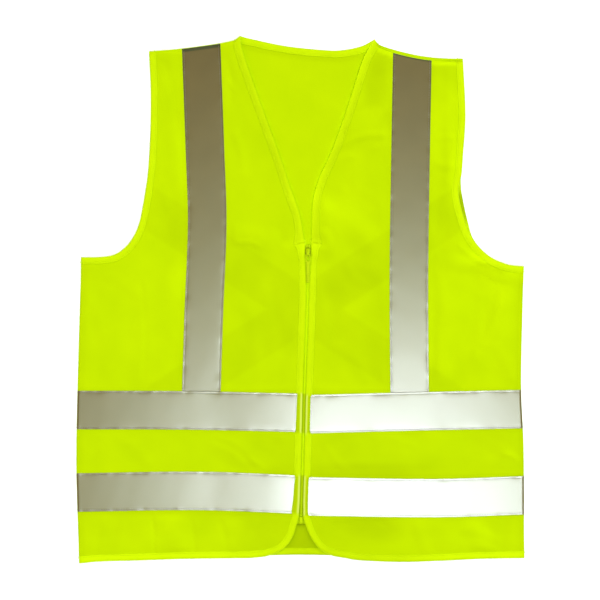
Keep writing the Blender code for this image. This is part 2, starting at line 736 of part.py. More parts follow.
def add_zip():
    top, bottom = ZIP[0]["y"], ZIP[-1]["y"]
    tape_rows = [top + ZIP_TAPE_TOP] + zip_rows()[1:-1] + [bottom - ZIP_TAPE_BOTTOM]
    for side_name, side in (("right", -1), ("left", 1)):
        near = side * (CHAIN_HALF + GAP)
        far = near + side * ZIP_TAPE_WIDTH
        low, high = FRONT_LEVEL, FRONT_LEVEL + CLOTH
        profile = [(near, low), (far, low), (far, high), (near, high)]
        add_zip_strip("zip_tape_" + side_name, tape_rows, profile, "zip")
        x = zip_middle(top) + side * STOP_OUT
        y = SLIDER_Y + SLIDER_LENGTH / 2 + GAP + STOP[1] / 2
        low_corner = (x - STOP[0] / 2, y - STOP[1] / 2, CHAIN_BOTTOM + hump(x, y))
        high_corner = (x + STOP[0] / 2, y + STOP[1] / 2, CHAIN_BOTTOM + hump(x, y) + STOP[2])
        add_loft("zip_stop_" + side_name, box_sections(low_corner, high_corner), "paint")
    box_top = bottom - ZIP_TAPE_BOTTOM + BOX[1]
    chain_rows = [SLIDER_Y + SLIDER_LENGTH / 2 - CHAIN_UNDER_SLIDER] + zip_rows()[1:-1] + [box_top + GAP]
    chain_top = CHAIN_BOTTOM + CHAIN_HEIGHT
    crown = CHAIN_HALF * CHAIN_CROWN
    shoulder = chain_top - CHAIN_SHOULDER
    profile = [(-CHAIN_HALF, CHAIN_BOTTOM), (CHAIN_HALF, CHAIN_BOTTOM), (CHAIN_HALF, shoulder),
               (crown, chain_top), (-crown, chain_top), (-CHAIN_HALF, shoulder)]
    add_zip_strip("zip_chain", chain_rows, profile, "zip")
    x = zip_middle(bottom)
    low_corner = (x - BOX[0] / 2, box_top - BOX[1], CHAIN_BOTTOM)
    high_corner = (x + BOX[0] / 2, box_top, CHAIN_BOTTOM + BOX[2])
    add_loft("zip_box", box_sections(low_corner, high_corner), "zip")


def add_slider():
    """The slider: a shield-shaped plate over the chain, two flanges beside it and a bridge for the pull."""
    x = zip_middle(SLIDER_Y)
    top_y, foot_y = SLIDER_Y + SLIDER_LENGTH / 2, SLIDER_Y - SLIDER_LENGTH / 2
    plate_low = CHAIN_BOTTOM + CHAIN_HEIGHT + GAP + hump(x, foot_y)
    plate_high = plate_low + SLIDER_PLATE
    wide, waist, slim = SLIDER_TOP_WIDTH / 2, SLIDER_WAIST_WIDTH / 2, SLIDER_FOOT_WIDTH / 2
    corner_in, corner_down = SLIDER_CORNER
    half = [(slim, foot_y), (waist, SLIDER_Y), (wide, top_y - corner_down), (wide - corner_in, top_y)]
    shield = half + [(-dx, y) for dx, y in reversed(half)]
    plate = add_loft("zip_slider", [[(x + dx, y, z) for dx, y in shield] for z in (plate_low, plate_high)],
                     "paint", (x, SLIDER_Y, plate_low))
    inner = CHAIN_HALF + GAP
    for side in (-1, 1):
        ends = sorted((side * inner, side * (inner + SLIDER_FLANGE)))
        low = (x + ends[0], SLIDER_Y - FLANGE_BELOW, FRONT_LEVEL + LAYER)
        high = (x + ends[1], top_y - FLANGE_TOP, plate_low + SLIDER_PLATE / 2)
        join_with(plate, add_loft(f"slider_flange_{side_label(side)}", box_sections(low, high), "paint"))
    arch_low = plate_high + BRIDGE_CLEAR
    arch_high = arch_low + BRIDGE_THICK
    foot = foot_y + BRIDGE_FOOT
    back = top_y - BRIDGE_BACK
    root = plate_high - BRIDGE_SINK
    lean = back - BRIDGE_SLOPE - BRIDGE_THICK
    profile = [(foot, root), (foot, arch_high - BRIDGE_CORNER), (foot + BRIDGE_CORNER, arch_high),
               (lean, arch_high), (back, root), (back - BRIDGE_THICK, root), (lean - BRIDGE_THICK, arch_low),
               (foot + BRIDGE_THICK, arch_low), (foot + BRIDGE_THICK, root)]
    sections = [[(x + dx, y, z) for y, z in profile] for dx in (-BRIDGE_WIDTH / 2, BRIDGE_WIDTH / 2)]
    join_with(plate, add_loft("slider_bridge", sections, "paint"))
    return Vector((x, foot + BRIDGE_THICK + GAP + PULL_THICK / 2, plate_high + PULL_LIFT + PULL_THICK / 2))


def side_label(side):
    return "right" if side < 0 else "left"


def add_pull(axis):
    """The pull tab: a stamped tongue whose eye runs round the bridge, lying towards the hem."""
    head, body, end = PULL_HEAD / 2, PULL_BODY / 2, axis.y + PULL_THICK / 2 - PULL_LENGTH
    bar = axis.y + PULL_THICK / 2
    neck = bar - PULL_EYE_LENGTH
    outline = [(-head, bar), (-head, neck), (-body, neck - PULL_NECK)]
    for step in range(PULL_END_PARTS + 1):
        angle = math.pi * step / PULL_END_PARTS
        outline.append((-body * math.cos(angle), end + body - body * math.sin(angle)))
    outline += [(body, neck - PULL_NECK), (head, neck), (head, bar)]
    low, high = axis.z - PULL_THICK / 2, axis.z + PULL_THICK / 2
    sections = [[(axis.x + dx, y, z) for dx, y in outline] for z in (low, high)]
    pull = add_loft("zip_pull", sections, "paint", axis)
    eye_top = axis.y - PULL_THICK / 2
    low_corner = (axis.x - PULL_EYE / 2, neck + PULL_WEB, low - CUT_THROUGH)
    high_corner = (axis.x + PULL_EYE / 2, eye_top, high + CUT_THROUGH)
    cutter = add_loft("pull_eye", box_sections(low_corner, high_corner), "paint")
    modifier = join_with(pull, cutter)
    modifier.operation = "DIFFERENCE"
    return pull


def clear_scene():
    for item in list(bpy.data.objects):
        bpy.data.objects.remove(item, do_unlink=True)


def main():
    clear_scene()
    add_back()
    add_fronts()
    add_zip()
    add_pull(add_slider())


main()
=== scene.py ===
# %% [markdown]
# # A safety vest, laid flat
# The vest is a sleeveless work garment: one back, two fronts that meet at a zip, knit binding folded over
# the raw edges and silver reflective tape sewn on in bands. Its solids already give every panel's cut and
# level. This script dresses them: it repeats the same edges at a finer step, adds the creases that thin
# knit cloth keeps when it is laid down, and gives each surface its finish.

import math

import bpy
import numpy as np
from mathutils.geometry import delaunay_2d_cdt
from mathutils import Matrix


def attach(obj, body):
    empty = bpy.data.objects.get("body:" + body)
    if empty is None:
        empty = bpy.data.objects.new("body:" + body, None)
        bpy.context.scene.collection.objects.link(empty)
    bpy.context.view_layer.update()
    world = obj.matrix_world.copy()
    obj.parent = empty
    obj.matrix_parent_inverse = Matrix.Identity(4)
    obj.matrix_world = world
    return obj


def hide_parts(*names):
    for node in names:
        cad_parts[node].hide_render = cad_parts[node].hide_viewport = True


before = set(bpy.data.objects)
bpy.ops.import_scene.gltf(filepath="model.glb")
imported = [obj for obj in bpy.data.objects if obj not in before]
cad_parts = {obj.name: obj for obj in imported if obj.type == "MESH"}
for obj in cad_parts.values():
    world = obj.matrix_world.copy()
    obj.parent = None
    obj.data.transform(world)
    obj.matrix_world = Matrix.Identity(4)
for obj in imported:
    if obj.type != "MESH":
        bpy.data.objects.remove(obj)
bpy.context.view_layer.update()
MM = 0.001
print("solids:", len(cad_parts))

# %% [markdown]
# ## Lines in the plan
# A flat garment is easiest to think of as a paper pattern. Every edge is a short list of points, in
# millimetres, with a smooth curve through them. A Catmull-Rom curve is used because it passes through its
# own points. The curve is then read at even steps, so that later cells can count on its spacing.

# %% Smooth lines
FINE = 3.0  # the usual step along an edge
CURVE_PARTS = 24


def run_along(line):
    """How far along a line each of its points is."""
    return np.concatenate([[0.0], np.cumsum(np.linalg.norm(np.diff(line, axis=0), axis=1))])


def resample(line, step):
    """The same line with points an even step apart."""
    lengths = run_along(line)
    places = np.linspace(0.0, lengths[-1], max(2, round(lengths[-1] / step) + 1))
    return np.column_stack([np.interp(places, lengths, line[:, axis]) for axis in range(line.shape[1])])


def smooth(points, step):
    """A Catmull-Rom curve through the points, read at even steps."""
    knots = np.array(points, float)
    knots = np.vstack([2 * knots[0] - knots[1], knots, 2 * knots[-1] - knots[-2]])
    t = np.linspace(0.0, 1.0, CURVE_PARTS, endpoint=False)[:, None]
    parts = []
    for before, start, end, after in zip(knots, knots[1:], knots[2:], knots[3:]):
        curve = 2 * start + (end - before) * t + (2 * before - 5 * start + 4 * end - after) * t ** 2
        parts.append(0.5 * (curve + (3 * start - before - 3 * end + after) * t ** 3))
    return resample(np.vstack(parts + [knots[-2:-1]]), step)


def directions(line):
    """The unit direction of a line at each of its points."""
    ways = np.gradient(line, axis=0)
    return ways / np.linalg.norm(ways, axis=1)[:, None]


print("a straight 100 mm line has", len(smooth([(0, 0), (100, 0)], FINE)), "points at", FINE, "mm steps")

# %% [markdown]
# ## Near and inside
# Two questions come up all the time: how far a point is from a line, and whether it is within a loop.
# They are asked of thousands of points at once, so each helper goes through the line piece by piece and
# treats all the points together as one array.

# %% Distances


def measured(points, line):
    """How far each point is from a line, and how far along the line its nearest place is."""
    away = np.full(len(points), np.inf)
    along = np.zeros(len(points))
    run = 0.0
    for start, end in zip(line, line[1:]):
        way = end - start
        length = np.linalg.norm(way)
        t = np.clip(((points - start) @ way) / length ** 2, 0.0, 1.0)
        here = np.linalg.norm(points - start - t[:, None] * way, axis=1)
        nearer = here < away
        away[nearer] = here[nearer]
        along[nearer] = run + t[nearer] * length
        run += length
    return away, along


def away_from(points, line):
    return measured(points, line)[0]


def inside(points, loop):
    """Which points are within a closed loop."""
    crossed = np.zeros(len(points), bool)
    for start, end in zip(loop, np.roll(loop, -1, axis=0)):
        if start[1] == end[1]:
            continue
        spans = (start[1] > points[:, 1]) != (end[1] > points[:, 1])
        meets = start[0] + (points[:, 1] - start[1]) * (end[0] - start[0]) / (end[1] - start[1])
        crossed ^= spans & (points[:, 0] < meets)
    return crossed


def ramp(value, full, end):
    """1 up to full, falling smoothly to 0 at end."""
    t = np.clip((end - value) / (end - full), 0.0, 1.0)
    return t * t * (3 - 2 * t)


SQUARE = np.array([[0.0, 0.0], [30.0, 0.0], [30.0, 30.0], [0.0, 30.0]])
print("is (15, 15) inside a 30 mm square?", bool(inside(np.array([[15.0, 15.0]]), SQUARE)[0]))

# %% [markdown]
# ## Moving an edge inward
# A binding or a cut line follows its edge at a distance. The way inward is square to the edge, but near
# its ends it turns until it slides along the seam that meets the edge there. That is why two strips that
# share a seam can meet on it without a gap.

# %% Steps inward
SLIDE_REACH = 14.0  # how far from an edge's ends its steps still slide


def inward(line, first=None, last=None, turn=1.0):
    """Steps of 1 mm inward from each point of an edge, sliding along the seams that meet its ends."""
    ways = directions(line)
    steps = np.column_stack([-ways[:, 1], ways[:, 0]]) * turn
    lengths = np.arange(len(line)) * np.linalg.norm(line[1] - line[0])
    for slide, way, away in ((first, ways[0], lengths), (last, ways[-1], lengths[::-1])):
        if slide is not None:
            slide = np.array(slide, float)
            slide /= abs(slide[0] * way[1] - slide[1] * way[0])
            share = ramp(away, 0.0, SLIDE_REACH)[:, None]
            steps = steps * (1 - share) + slide * share
    return steps


print("one step inward from an edge along X:", inward(SQUARE[:2])[0])

# %% [markdown]
# ## The cut of the vest
# These are the finished edges, the same ones that the solids are built on. Right is the wearer's right,
# at -X. The garment lies a little askew, as a real one does, so the two sides are not mirror images.

# %% Edges
EDGES = {
    "side_right": [(-287, -342), (-290, -261), (-291, -196), (-289, -98), (-284.5, 55.3)],
    "armhole_right": [(-284.5, 55.3), (-262, 55.5), (-243.5, 58), (-231, 65), (-219.5, 77.5), (-210, 97),
                      (-204, 125), (-198, 165), (-195, 214), (-194.3, 270), (-196.6, 322)],
    "shoulder_right": [(-196.6, 322), (-148, 327), (-91, 335.5), (-78, 342.5)],
    "neck_right": [(-78, 342.5), (-71.6, 312), (-24.7, 181.6), (-16.4, 155.6), (-7.0, 129.6), (0, 108),
                   (5.4, 74)],
    "corner_right": [(-3.6, -281), (-5.4, -292), (-10, -307), (-22, -323), (-42, -332), (-65, -335)],
    "hem_right": [(-65, -335), (-148, -336), (-208, -338), (-260, -339.5), (-287, -342)],
    "side_left": [(290.3, -335), (289.7, -196), (286.4, -115), (288, -20), (289.7, 43.6)],
    "armhole_left": [(289.7, 43.6), (267, 46.5), (242.2, 58.6), (221.3, 82.7), (210.5, 112), (204.8, 141),
                     (209, 163), (211, 190), (214, 240), (211, 309)],
    "shoulder_left": [(211, 309), (182, 310), (156, 313), (130, 318.5), (104, 326.5), (96, 338)],
    "neck_left": [(96, 338), (81, 311.8), (64.1, 259.7), (46, 207.7), (35, 181.6), (23.4, 155.6),
                  (16.2, 129.6), (14.6, 100), (14.2, 74)],
    "corner_left": [(4.9, -281), (6.4, -291), (12.5, -306.6), (25, -323.5), (40, -331.5), (58, -335)],
    "hem_left": [(58, -335), (78, -338), (130, -340), (182, -338.5), (234, -336), (290.3, -335)],
    "back_armhole_left": [(289.7, 43.6), (267, 46.5), (242.2, 58.6), (224.5, 79), (217.4, 101),
                          (211, 129.5), (208.3, 150), (209, 190), (212, 240), (211, 313)],
    "back_shoulder_left": [(211, 313), (182, 313.9), (156, 316.8), (130, 322.4), (104, 330.5), (96, 338)],
    "back_neck": [(96, 338), (78, 329), (52, 324), (26, 324.6), (-20, 329.6), (-65, 339), (-78, 342.5)],
    "back_hem": [(-287, -341), (-208, -336.5), (-91, -333.5), (0, -331), (91, -333.5), (182, -336.5),
                 (290.3, -334)],
}


def edge(name, step=FINE):
    return smooth(EDGES[name], step)


for name in EDGES:
    print(name, "is", round(float(run_along(edge(name))[-1])), "mm long")

# %% [markdown]
# ## The zip's line and the middles of the tapes
# The zip hangs a little off the middle and leans, so a table gives its X and the half width of the gap it
# lies in at several heights. Tapes are given by their middle lines alone, because their width never
# changes.

# %% Zip line and tapes
SIDES = {"right": -1, "left": 1}
ZIP_Y = [74, 50, 28, 0, -131, -196, -262, -281]
ZIP_X = [9.8, 9.6, 9.4, 9.1, 4.6, 3.2, 1.2, 0.65]
ZIP_HALF = [4.4, 4.3, 3.4, 3.3, 3.3, 3.3, 3.4, 4.25]
ZIP_CLOSER = [
    # height, how much nearer to the coil the soft bindings reach than their solids do
    (74, 0.7), (57, 0.7), (53, 2.1), (28, 1.5), (-240, 1.5), (-281, 1.7),
]
ZIP_STEPS = 120
CORNER_EASE = 15.0  # the rounded corner joins the zip's edge over this length
BANDS = {
    "band_upper_right": [(-300, -142.9), (-150, -143.4), (20, -147.0)],
    "band_lower_right": [(-300, -250.2), (-130, -248.0), (20, -253.6)],
    "band_upper_left": [(-10, -148.8), (182, -144.0), (300, -141.6)],
    "band_lower_left": [(-10, -254.6), (170, -257.3), (300, -253.2)],
    "back_band_upper": [(-300, -143.0), (300, -143.0)],
    "back_band_lower": [(-300, -252.0), (300, -252.0)],
}
BRACES = {
    "brace_right": [(-129.7, -150), (-125.6, -20), (-121.1, 97), (-124, 195), (-129.5, 345)],
    "brace_left": [(142, -150), (140.7, 0), (141.7, 120), (145.5, 335)],
}
CROSSES = {
    "back_cross_under": [(-175.3, -128.6), (225, 130.8)],
    "back_cross_over": [(185.3, -128.6), (-215, 130.8)],
}
BACK_MIDDLES = list(CROSSES.values()) + [BANDS["back_band_upper"], BANDS["back_band_lower"]]
TAPE = 50.0
BINDING = 9.0


def along_zip(values, y):
    """A row of the zip's table, read at any heights."""
    return np.interp(-np.asarray(y, float), -np.array(ZIP_Y, float), values)


def zip_x(y):
    return along_zip(ZIP_X, y)


def opening(side_name, side):
    """The neck of one front, and its zip edge, rounded corner and hem as one line."""
    neck = edge("neck_" + side_name)
    rows = np.linspace(ZIP_Y[0], ZIP_Y[-1], ZIP_STEPS)
    closer = np.interp(-rows, [-y for y, _ in ZIP_CLOSER], [much for _, much in ZIP_CLOSER])
    zip_line = np.column_stack([zip_x(rows) + side * (along_zip(ZIP_HALF, rows) - closer), rows])
    corner = edge("corner_" + side_name)
    corner += (zip_line[-1] - corner[0]) * ramp(np.arange(len(corner)) * FINE, 0.0, CORNER_EASE)[:, None]
    neck[-1] = zip_line[0]
    return neck, np.vstack([zip_line, corner[1:], edge("hem_" + side_name)[1:]])


print("the zip leans", round(ZIP_X[0] - ZIP_X[-1], 2), "mm over its", ZIP_Y[0] - ZIP_Y[-1], "mm")

# %% [markdown]
# ## How the layers lie
# The back lies on the floor, the fronts lie on the back, and the crossing of the two back tapes pushes up
# what lies over it. Each level here is the solids' own. A pair of distances says up to where a rise is
# full and where it has ended.

# %% Levels
CLOTH = 1.0  # thickness of the knit
LAYER = 1.3  # from one layer's underside to the next
BACK_LEVEL = LAYER
FRONT_LEVEL = 2 * LAYER
BOUND_RISE = 2 * LAYER  # over two leaves of binding
OPEN_RISE = LAYER  # over one leaf, beside the zip
FULL_RISE = BINDING + 2.0
RISE_END = BINDING + 26.0
FRONT_HUMP = 1.3 * LAYER
CROSS_RISE = (TAPE / 2 + 2.0, TAPE / 2 + 22.0)
FRONT_CROSS_RISE = (TAPE / 2 + 5.0, TAPE / 2 + 41.0)
TAPE_EDGE = (TAPE / 2 + 1.0, TAPE / 2 + 14.0)


def cross_rise(points, full, end):
    """How much the crossing of the back tapes lifts what lies over it, from 0 to 1."""
    rise = np.ones(len(points))
    for middle in CROSSES.values():
        rise *= ramp(away_from(points, np.array(middle, float)), full, end)
    return rise


def hump(points):
    return FRONT_HUMP * cross_rise(points, *FRONT_CROSS_RISE)


def taped(points, middles):
    """1 under a tape, falling to 0 beside it."""
    share = np.zeros(len(points))
    for middle in middles:
        share = np.maximum(share, ramp(away_from(points, smooth(middle, 40.0)), *TAPE_EDGE))
    return share


print("over the middle of the cross the fronts rise", np.round(hump(np.array([[5.0, 0.0]])), 2), "mm")

# %% [markdown]
# ## Folds and creases
# A crease is a soft ridge or trough along a slightly bent line: it has a width, a height and a bow, and
# it dies out at both ends. No two are alike, because even spacing is what makes modelled cloth look
# wrong. The wide, soft folds of the fronts come first, then their sharper creases, then the back's.

# %% Folds and creases
FOLDS = [
    # x and y of both ends, bow, width, height
    (26, 124, 84, 76, 8, 50, 2.4), (52, 214, 112, 226, 0, 52, 1.2), (210, 46, 286, 38, 4, 30, 1.5),
    (280, 20, 222, -84, 6, 52, 2.0), (120, -200, 262, -206, 0, 44, 0.8),
    (222, -288, 244, -336, 0, 40, 1.6), (-208, 40, -206, -106, 2, 40, 0.6),
    (-92, 88, -50, 78, 0, 40, 1.3), (-176, 270, -158, 150, 4, 46, 1.0),
    (-112, -182, -26, -240, 4, 44, 1.1), (-172, -284, -160, -334, 4, 50, 1.6),
    (196, -10, 176, -104, -4, 44, 1.4),
]
CREASES = [
    (24, 96, 44, 78, 4, 18, -0.9), (60, 150, 98, 120, -4, 22, -0.4), (40, 176, 70, 186, 3, 16, 0.5),
    (52, 200, 108, 214, 5, 16, 0.9), (96, 196, 112, 202, 0, 12, 0.5), (66, 240, 104, 252, 4, 18, -0.4),
    (178, 208, 196, 210, 2, 16, 0.6), (172, 178, 198, 174, -2, 18, 0.8),
    (190, 150, 200, 258, -4, 22, 0.6), (172, 90, 188, 150, 5, 24, -0.4), (182, 62, 204, 104, 5, 24, -0.5),
    (206, 70, 244, 46, -3, 12, 0.7), (232, 50, 262, 38, 2, 12, 0.8), (256, 46, 284, 40, -2, 10, 0.6),
    (240, 30, 274, 20, -4, 16, -0.4), (258, 14, 236, -60, 5, 18, 0.7), (232, 8, 226, -76, 3, 20, 0.5),
    (252, -60, 276, -104, 3, 26, 0.5), (176, 34, 182, -30, 4, 24, 0.5), (60, 46, 84, 20, -5, 22, 0.45),
    (28, 30, 44, -60, 4, 22, -0.3), (44, -58, 88, -108, 6, 26, 0.4), (236, -182, 282, -214, 4, 26, 0.5),
    (264, -200, 288, -212, 2, 12, 0.6), (96, -176, 150, -190, 3, 20, 0.35),
    (30, -184, 60, -222, -3, 18, 0.4), (82, -284, 108, -290, 2, 12, -0.5),
    (150, -288, 168, -332, -3, 24, 0.5), (210, -300, 256, -312, 4, 18, 0.6),
    (266, -288, 258, -330, 2, 16, -0.3), (-96, 312, -92, 256, 3, 16, -0.5),
    (-100, 286, -88, 274, 2, 12, 0.6), (-70, 282, -40, 196, 4, 22, 0.4), (-86, 216, -74, 160, 4, 20, 0.5),
    (-176, 306, -160, 230, 3, 18, -0.4), (-184, 200, -172, 120, -3, 20, 0.4),
    (-82, 74, -54, 70, 3, 12, 0.7), (-30, 96, -8, 60, -3, 20, -0.35),
    (-208, 24, -204, -100, 5, 12, -0.35), (-250, 30, -214, 6, 4, 24, 0.35),
    (-276, -10, -262, -96, 4, 22, -0.3), (-150, 40, -168, -50, -5, 28, 0.3),
    (-70, -10, -54, -110, 4, 26, 0.35), (-40, 20, -26, -70, 3, 22, -0.3),
    (-112, -182, -64, -214, 5, 14, -0.5), (-66, -206, -14, -258, 3, 14, 0.45),
    (-236, -178, -196, -216, 4, 24, 0.3), (-264, -180, -276, -218, 2, 18, -0.3),
    (-60, -284, -84, -326, 3, 22, 0.5), (-104, -288, -96, -330, 2, 14, -0.45),
    (-192, -282, -190, -334, 1, 9, -0.55), (-142, -286, -138, -332, 2, 12, -0.35),
    (-232, -288, -240, -332, 3, 20, 0.35), (-262, -286, -266, -330, 2, 16, -0.3),
    (-20, -262, -30, -300, 3, 16, 0.4),
]
BACK_CREASES = [
    (-40, 300, 30, 250, 6, 30, 0.5), (20, 240, -6, 170, -4, 26, 0.4), (-200, 300, -170, 180, 5, 34, 0.5),
    (190, 290, 160, 150, -6, 36, 0.5), (-230, 40, -120, 10, 6, 30, -0.45),
    (240, 30, 120, -10, -6, 32, -0.45), (-60, 120, 60, 150, 8, 34, 0.4),
    (-40, -60, 50, -90, -6, 30, -0.4), (-240, -190, -90, -205, 5, 26, 0.45),
    (60, -200, 230, -188, -5, 26, 0.4), (-150, -300, -40, -310, 4, 20, -0.35),
    (100, -306, 220, -296, 4, 22, 0.35),
]
print(len(FOLDS), "folds and", len(CREASES) + len(BACK_CREASES), "creases")

# %% [markdown]
# ## Heights from the tables
# Each row becomes a short bent line. A point's height falls off with its distance from that line, and
# again beyond the line's ends. Ripples are waves of many lengths and directions from a fixed seed, so
# that no stretch of cloth is quite flat.

# %% Crease heights and ripples
BOW_POINTS = 9
RIPPLE_WAVES = 16


def crease_heights(points, rows, taper):
    """The sum of soft ridges and troughs at each point."""
    total = np.zeros(len(points))
    for x0, y0, x1, y1, bow, width, height in rows:
        start, way = np.array([x0, y0], float), np.array([x1 - x0, y1 - y0], float)
        length = np.linalg.norm(way)
        across = np.array([-way[1], way[0]]) / length
        share = np.linspace(0.0, 1.0, BOW_POINTS)[:, None]
        line = start + way * share + across * bow * np.sin(np.pi * share)
        reach = width / 2 + taper
        near = np.all((points > line.min(axis=0) - reach) & (points < line.max(axis=0) + reach), axis=1)
        ahead = np.vstack([line[0] - way / length * taper, line, line[-1] + way / length * taper])
        away, along = measured(points[near], ahead)
        middle = np.abs(along - length / 2 - taper)
        ends = ramp(middle, length / 2 - taper * 0.3, length / 2 + taper)
        total[near] += height * ends * ramp(away, 0.0, width / 2)
    return total


def ripples(points, seed, height, shortest, longest):
    """Soft unevenness: waves of random direction, length and phase."""
    source = np.random.default_rng(seed)
    total = np.zeros(len(points))
    for wavelength in np.geomspace(shortest, longest, RIPPLE_WAVES):
        angle, phase = source.uniform(0.0, 2 * math.pi, 2)
        way = np.array([math.cos(angle), math.sin(angle)]) * 2 * math.pi / wavelength
        total += height * math.sqrt(wavelength / longest) * np.sin(points @ way + phase)
    return total / math.sqrt(RIPPLE_WAVES)


fold_top = np.array([[55.0, 100.0]])
print("the first fold is", np.round(crease_heights(fold_top, FOLDS[:1], 30.0), 2), "mm high")

# %% [markdown]
# ## The surface of a front
# One object answers how high a front's underside is at any point. It rises where a binding is folded
# round an edge and sinks towards the middle, more slowly under the stiff bands. Tape is stiffer than
# knit, so it flattens the creases that it crosses.

# %% Fronts
COARSE = 6.0  # a coarser step is enough to measure from
NECK_RUN = (26.0, 90.0)  # along the opening, where its rise falls to that beside the zip
HEM_RUN = (0.0, 55.0)  # along the hem, where the rise grows back
BAND_SPREAD = 90.0  # how much further the rise spreads under the bands
SEAM_DIP = 0.28  # how far the side seam's edge is drawn down
FOLD_TAPER = 30.0
CREASE_TAPER = 8.0
FRONT_RIPPLES = (0.5, 26.0, 130.0)  # height, shortest and longest wave
TAPE_STIFFNESS = 0.94
UPPER_RIGHT = np.array([0.75, 0.66])


class Front:
    """The level of one front's underside at any points."""

    def __init__(self, side_name, side):
        neck, rest = opening(side_name, side)
        zip_rows = np.count_nonzero(rest[:, 1] >= ZIP_Y[-1])
        self.armhole = edge("armhole_" + side_name, COARSE)
        self.opening = resample(np.vstack([neck, rest[1:zip_rows]]), COARSE)
        self.hem = resample(rest[zip_rows - 1:], COARSE)
        self.side_seam = edge("side_" + side_name, 30.0)
        self.shoulder = edge("shoulder_" + side_name, 12.0)
        self.bands = [BANDS["band_upper_" + side_name], BANDS["band_lower_" + side_name]]
        self.tapes = self.bands + [BRACES["brace_" + side_name]]
        self.folds = [row for row in FOLDS if row[0] * side > 0]
        self.creases = [row for row in CREASES if row[0] * side > 0]
        self.seed = 5 + side

    def level(self, points):
        open_away, open_run = measured(points, self.opening)
        hem_away, hem_run = measured(points, self.hem)
        spread = BAND_SPREAD * taped(points, self.bands)
        arm_rise = BOUND_RISE * ramp(away_from(points, self.armhole), FULL_RISE, RISE_END)
        open_rise = np.interp(open_run, NECK_RUN, (BOUND_RISE, OPEN_RISE))
        open_rise *= ramp(open_away, FULL_RISE, RISE_END + spread)
        hem_rise = np.interp(hem_run, HEM_RUN, (OPEN_RISE, BOUND_RISE))
        hem_rise *= ramp(hem_away, FULL_RISE, RISE_END)
        lift = np.max([arm_rise, open_rise, hem_rise], axis=0) + hump(points)
        dip = SEAM_DIP * ramp(away_from(points, self.side_seam), 0.3, 2.2)
        return FRONT_LEVEL + lift + self.relief(points) - dip

    def relief(self, points):
        """Folds, creases and waves, flatter under the tapes and near seams and bindings."""
        seam = np.minimum(away_from(points, self.side_seam), away_from(points, self.shoulder))
        open_away = np.minimum(away_from(points, self.opening), away_from(points, self.hem))
        clear = np.minimum(seam, open_away)
        everywhere = np.minimum(clear, away_from(points, self.armhole))
        folds = crease_heights(points, self.folds, FOLD_TAPER) * (1 - ramp(seam, 6.0, 30.0))
        folds *= 1 - ramp(open_away, 4.0, 16.0)
        creases = crease_heights(points, self.creases, CREASE_TAPER) * (1 - ramp(clear, 2.0, 12.0))
        waves = ripples(points, self.seed, *FRONT_RIPPLES) * (1 - ramp(everywhere, 3.0, 26.0))
        return (folds + creases + waves) * (1 - TAPE_STIFFNESS * taped(points, self.tapes))

    def lean(self, points, step=1.5):
        """The slope of the relief towards the upper right, where the stronger light is."""
        ahead = UPPER_RIGHT * step
        return (self.relief(points + ahead) - self.relief(points - ahead)) / (2 * step)


FRONTS = {name: Front(name, side) for name, side in SIDES.items()}
probe = np.array([[150.0, 100.0], [150.0, -143.0]])
print("left front:", np.round(FRONTS["left"].level(probe), 2), "mm up on the chest and on the upper band")

# %% [markdown]
# ## The surface of the back
# The back is simpler: it lies flat but for the crossing of its own tapes, a few long creases and low
# ripples. They fade out under the tapes and near every edge.

# %% Back
BACK_LINES = ("side_right", "side_left", "back_neck", "back_hem", "armhole_right", "back_armhole_left",
              "shoulder_right", "back_shoulder_left")
BACK_RIPPLES = (0.22, 30.0, 120.0)


class Back:
    """The level of the back's underside at any points."""

    def level(self, points):
        creases = crease_heights(points, BACK_CREASES, 10.0) + ripples(points, 3, *BACK_RIPPLES)
        edge_away = np.min([away_from(points, edge(name, 8.0)) for name in BACK_LINES], axis=0)
        rise = LAYER * cross_rise(points, *CROSS_RISE)
        creases *= 1 - taped(points, BACK_MIDDLES)
        return BACK_LEVEL + rise + creases * (1 - ramp(edge_away, 2.0, 18.0))


BACK = Back()
print("the back lies at", np.round(BACK.level(probe), 2), "mm at the same places")

# %% [markdown]
# ## Wiring nodes with Python sums
# Node trees are quick to draw and slow to read in a script. One small class fixes that: it wraps a
# socket, and sums and products of such wires add the Math nodes by themselves. Every other node comes
# from its one method.

# %% A wire is a socket that can be added and multiplied


